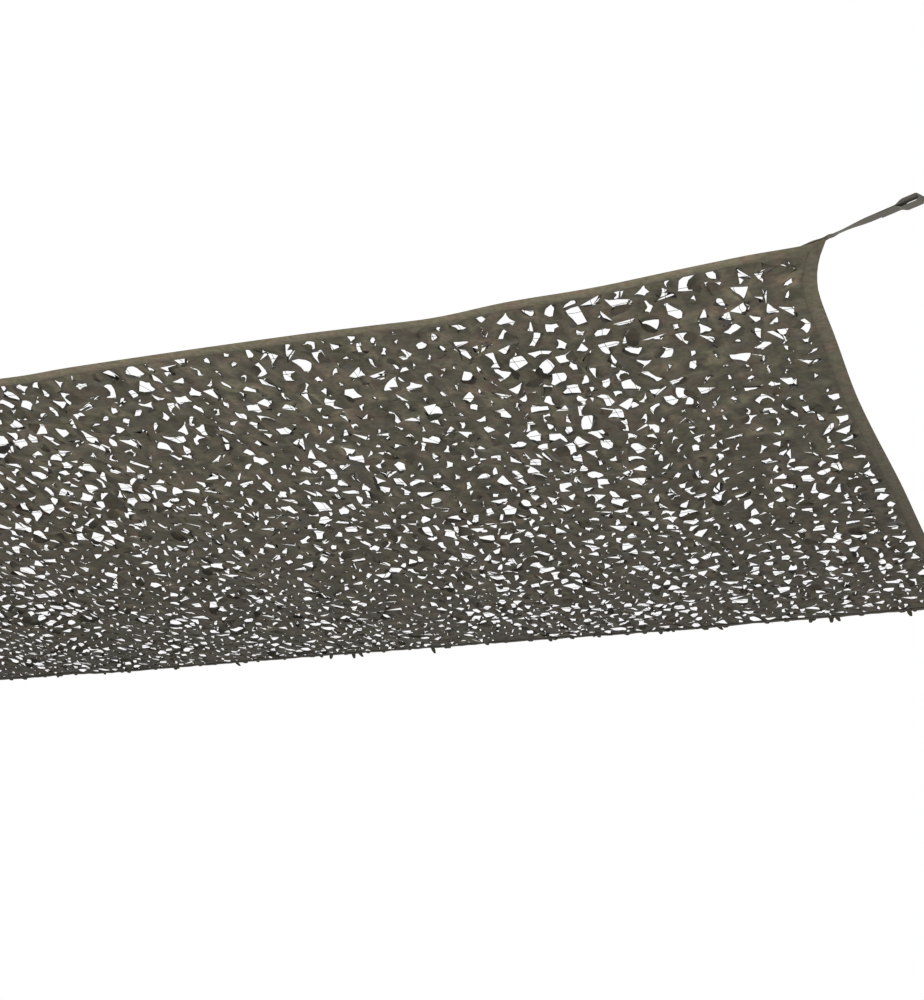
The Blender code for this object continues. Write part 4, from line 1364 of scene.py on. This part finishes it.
class SHADESAIL_OT_string_netting(bpy.types.Operator):
    """Lay the knotted string netting on the cloth"""

    bl_idname = "shade_sail.string_netting"
    bl_label = "String Netting"

    def execute(self, context):
        looks = context.scene.shade_sail
        points, knots, edges = [], [], []

        def add_point(i, j, is_knot):
            u, v = i / (STRINGS_DEEP - 1), j / (STRINGS_ALONG - 1)
            left, away = inset_place(STRING_INSET, u, v)
            seed = len(points)
            if 0.0 < u < 1.0:
                left += STRING_WANDER * (chance(seed, 0, 90) - 0.5)
            if 0.0 < v < 1.0:
                away += STRING_WANDER * (chance(seed, 0, 91) - 0.5)
            inside = min(u, 1.0 - u, v, 1.0 - v) > 0.0
            lift = STRING_LIFT if inside else HEM_THICK / 2.0
            points.append(placed(left, away, lift))
            knots.append(is_knot and inside)
            return seed

        crossings = {}
        for i in range(STRINGS_DEEP):
            for j in range(STRINGS_ALONG):
                crossings[i, j] = add_point(i, j, True)
        for (i, j), start in crossings.items():
            for next_i, next_j in ((i + 1, j), (i, j + 1)):
                in_side_hem = i == next_i and i in (0, STRINGS_DEEP - 1)
                in_long_hem = j == next_j and j in (0, STRINGS_ALONG - 1)
                end = crossings.get((next_i, next_j))
                if end is None or in_side_hem or in_long_hem:
                    continue
                middle = add_point((i + next_i) / 2.0, (j + next_j) / 2.0, False)
                edges += [(start, middle), (middle, end)]
        paths = new_mesh("string_netting", points, edges)
        paths.attributes.new("knot", "BOOLEAN", "POINT").data.foreach_set("value", knots)
        sizes = {"String Thickness": looks.string_thickness, "Knot Size": looks.knot_size}
        finish = twisted_thread("braided_polyester_string", looks.string_colour, STRING_STRAND)
        netting = run_node_group("string_netting", paths, netting_tree(), sizes, finish)
        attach(netting, "root")
        return {"FINISHED"}


class SHADESAIL_OT_hem_stitches(bpy.types.Operator):
    """Sew the hem, with stitches on both of its sides"""

    bl_idname = "shade_sail.hem_stitches"
    bl_label = "Hem Stitches"

    def execute(self, context):
        looks = context.scene.shade_sail
        points, edges = [], []
        for level in (HEM_TOP, HEM_UNDER):
            first = len(points)
            for k, (u, v) in enumerate(outer_shares()):
                lift = level + edge_wave(k, u, v)
                points.append(placed(*inset_place(SEAM_INSET, u, v), lift))
            count = len(points) - first
            edges += [(first + k, first + (k + 1) % count) for k in range(count)]
        paths = new_mesh("hem_stitches", points, edges)
        sew("hem_stitches", paths, looks.hem_stitch_pitch, "sewing_thread", looks)
        return {"FINISHED"}


class SHADESAIL_OT_corner_straps(bpy.types.Operator):
    """Fold the four webbing straps round their eyes and sew them"""

    bl_idname = "shade_sail.corner_straps"
    bl_label = "Corner Straps"

    def execute(self, context):
        looks = context.scene.shade_sail
        finish = woven_polyester_webbing(looks.webbing_colour)
        for corner, strap in corner_places():
            name = f"webbing_{corner}"
            webbing = add_piece(name, webbing_mesh(name, strap), finish)
            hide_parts(f"strap_{corner}")
            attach(webbing, "root")
        paths = strap_stitch_paths()
        sew("strap_stitches", paths, looks.strap_stitch_pitch, "strap_thread", looks)
        return {"FINISHED"}


class SHADESAIL_PT_pieces(bpy.types.Panel):
    """The sail's pieces in the order in which they are made"""

    bl_idname = "SHADESAIL_PT_pieces"
    bl_label = "Shade Sail"
    bl_space_type = "VIEW_3D"
    bl_region_type = "UI"
    bl_category = "Shade Sail"

    def draw(self, context):
        looks = context.scene.shade_sail
        for name in ShadeSailSettings.__annotations__:
            self.layout.prop(looks, name)
        for operator in OPERATORS:
            self.layout.operator(operator.bl_idname)


OPERATORS = (
    SHADESAIL_OT_stage,
    SHADESAIL_OT_net_cloth,
    SHADESAIL_OT_string_netting,
    SHADESAIL_OT_hem_stitches,
    SHADESAIL_OT_corner_straps,
)
CLASSES = (ShadeSailSettings, *OPERATORS, SHADESAIL_PT_pieces)


def register():
    """Make the settings, operators and panel known."""
    for made in CLASSES:
        bpy.utils.register_class(made)
    bpy.types.Scene.shade_sail = PointerProperty(type=ShadeSailSettings)


def unregister():
    """Take them away again."""
    del bpy.types.Scene.shade_sail
    for made in reversed(CLASSES):
        bpy.utils.unregister_class(made)


def main():
    register()
    bpy.ops.shade_sail.stage()
    bpy.ops.shade_sail.net_cloth()
    bpy.ops.shade_sail.string_netting()
    bpy.ops.shade_sail.hem_stitches()
    bpy.ops.shade_sail.corner_straps()


if __name__ == "__main__":
    main()
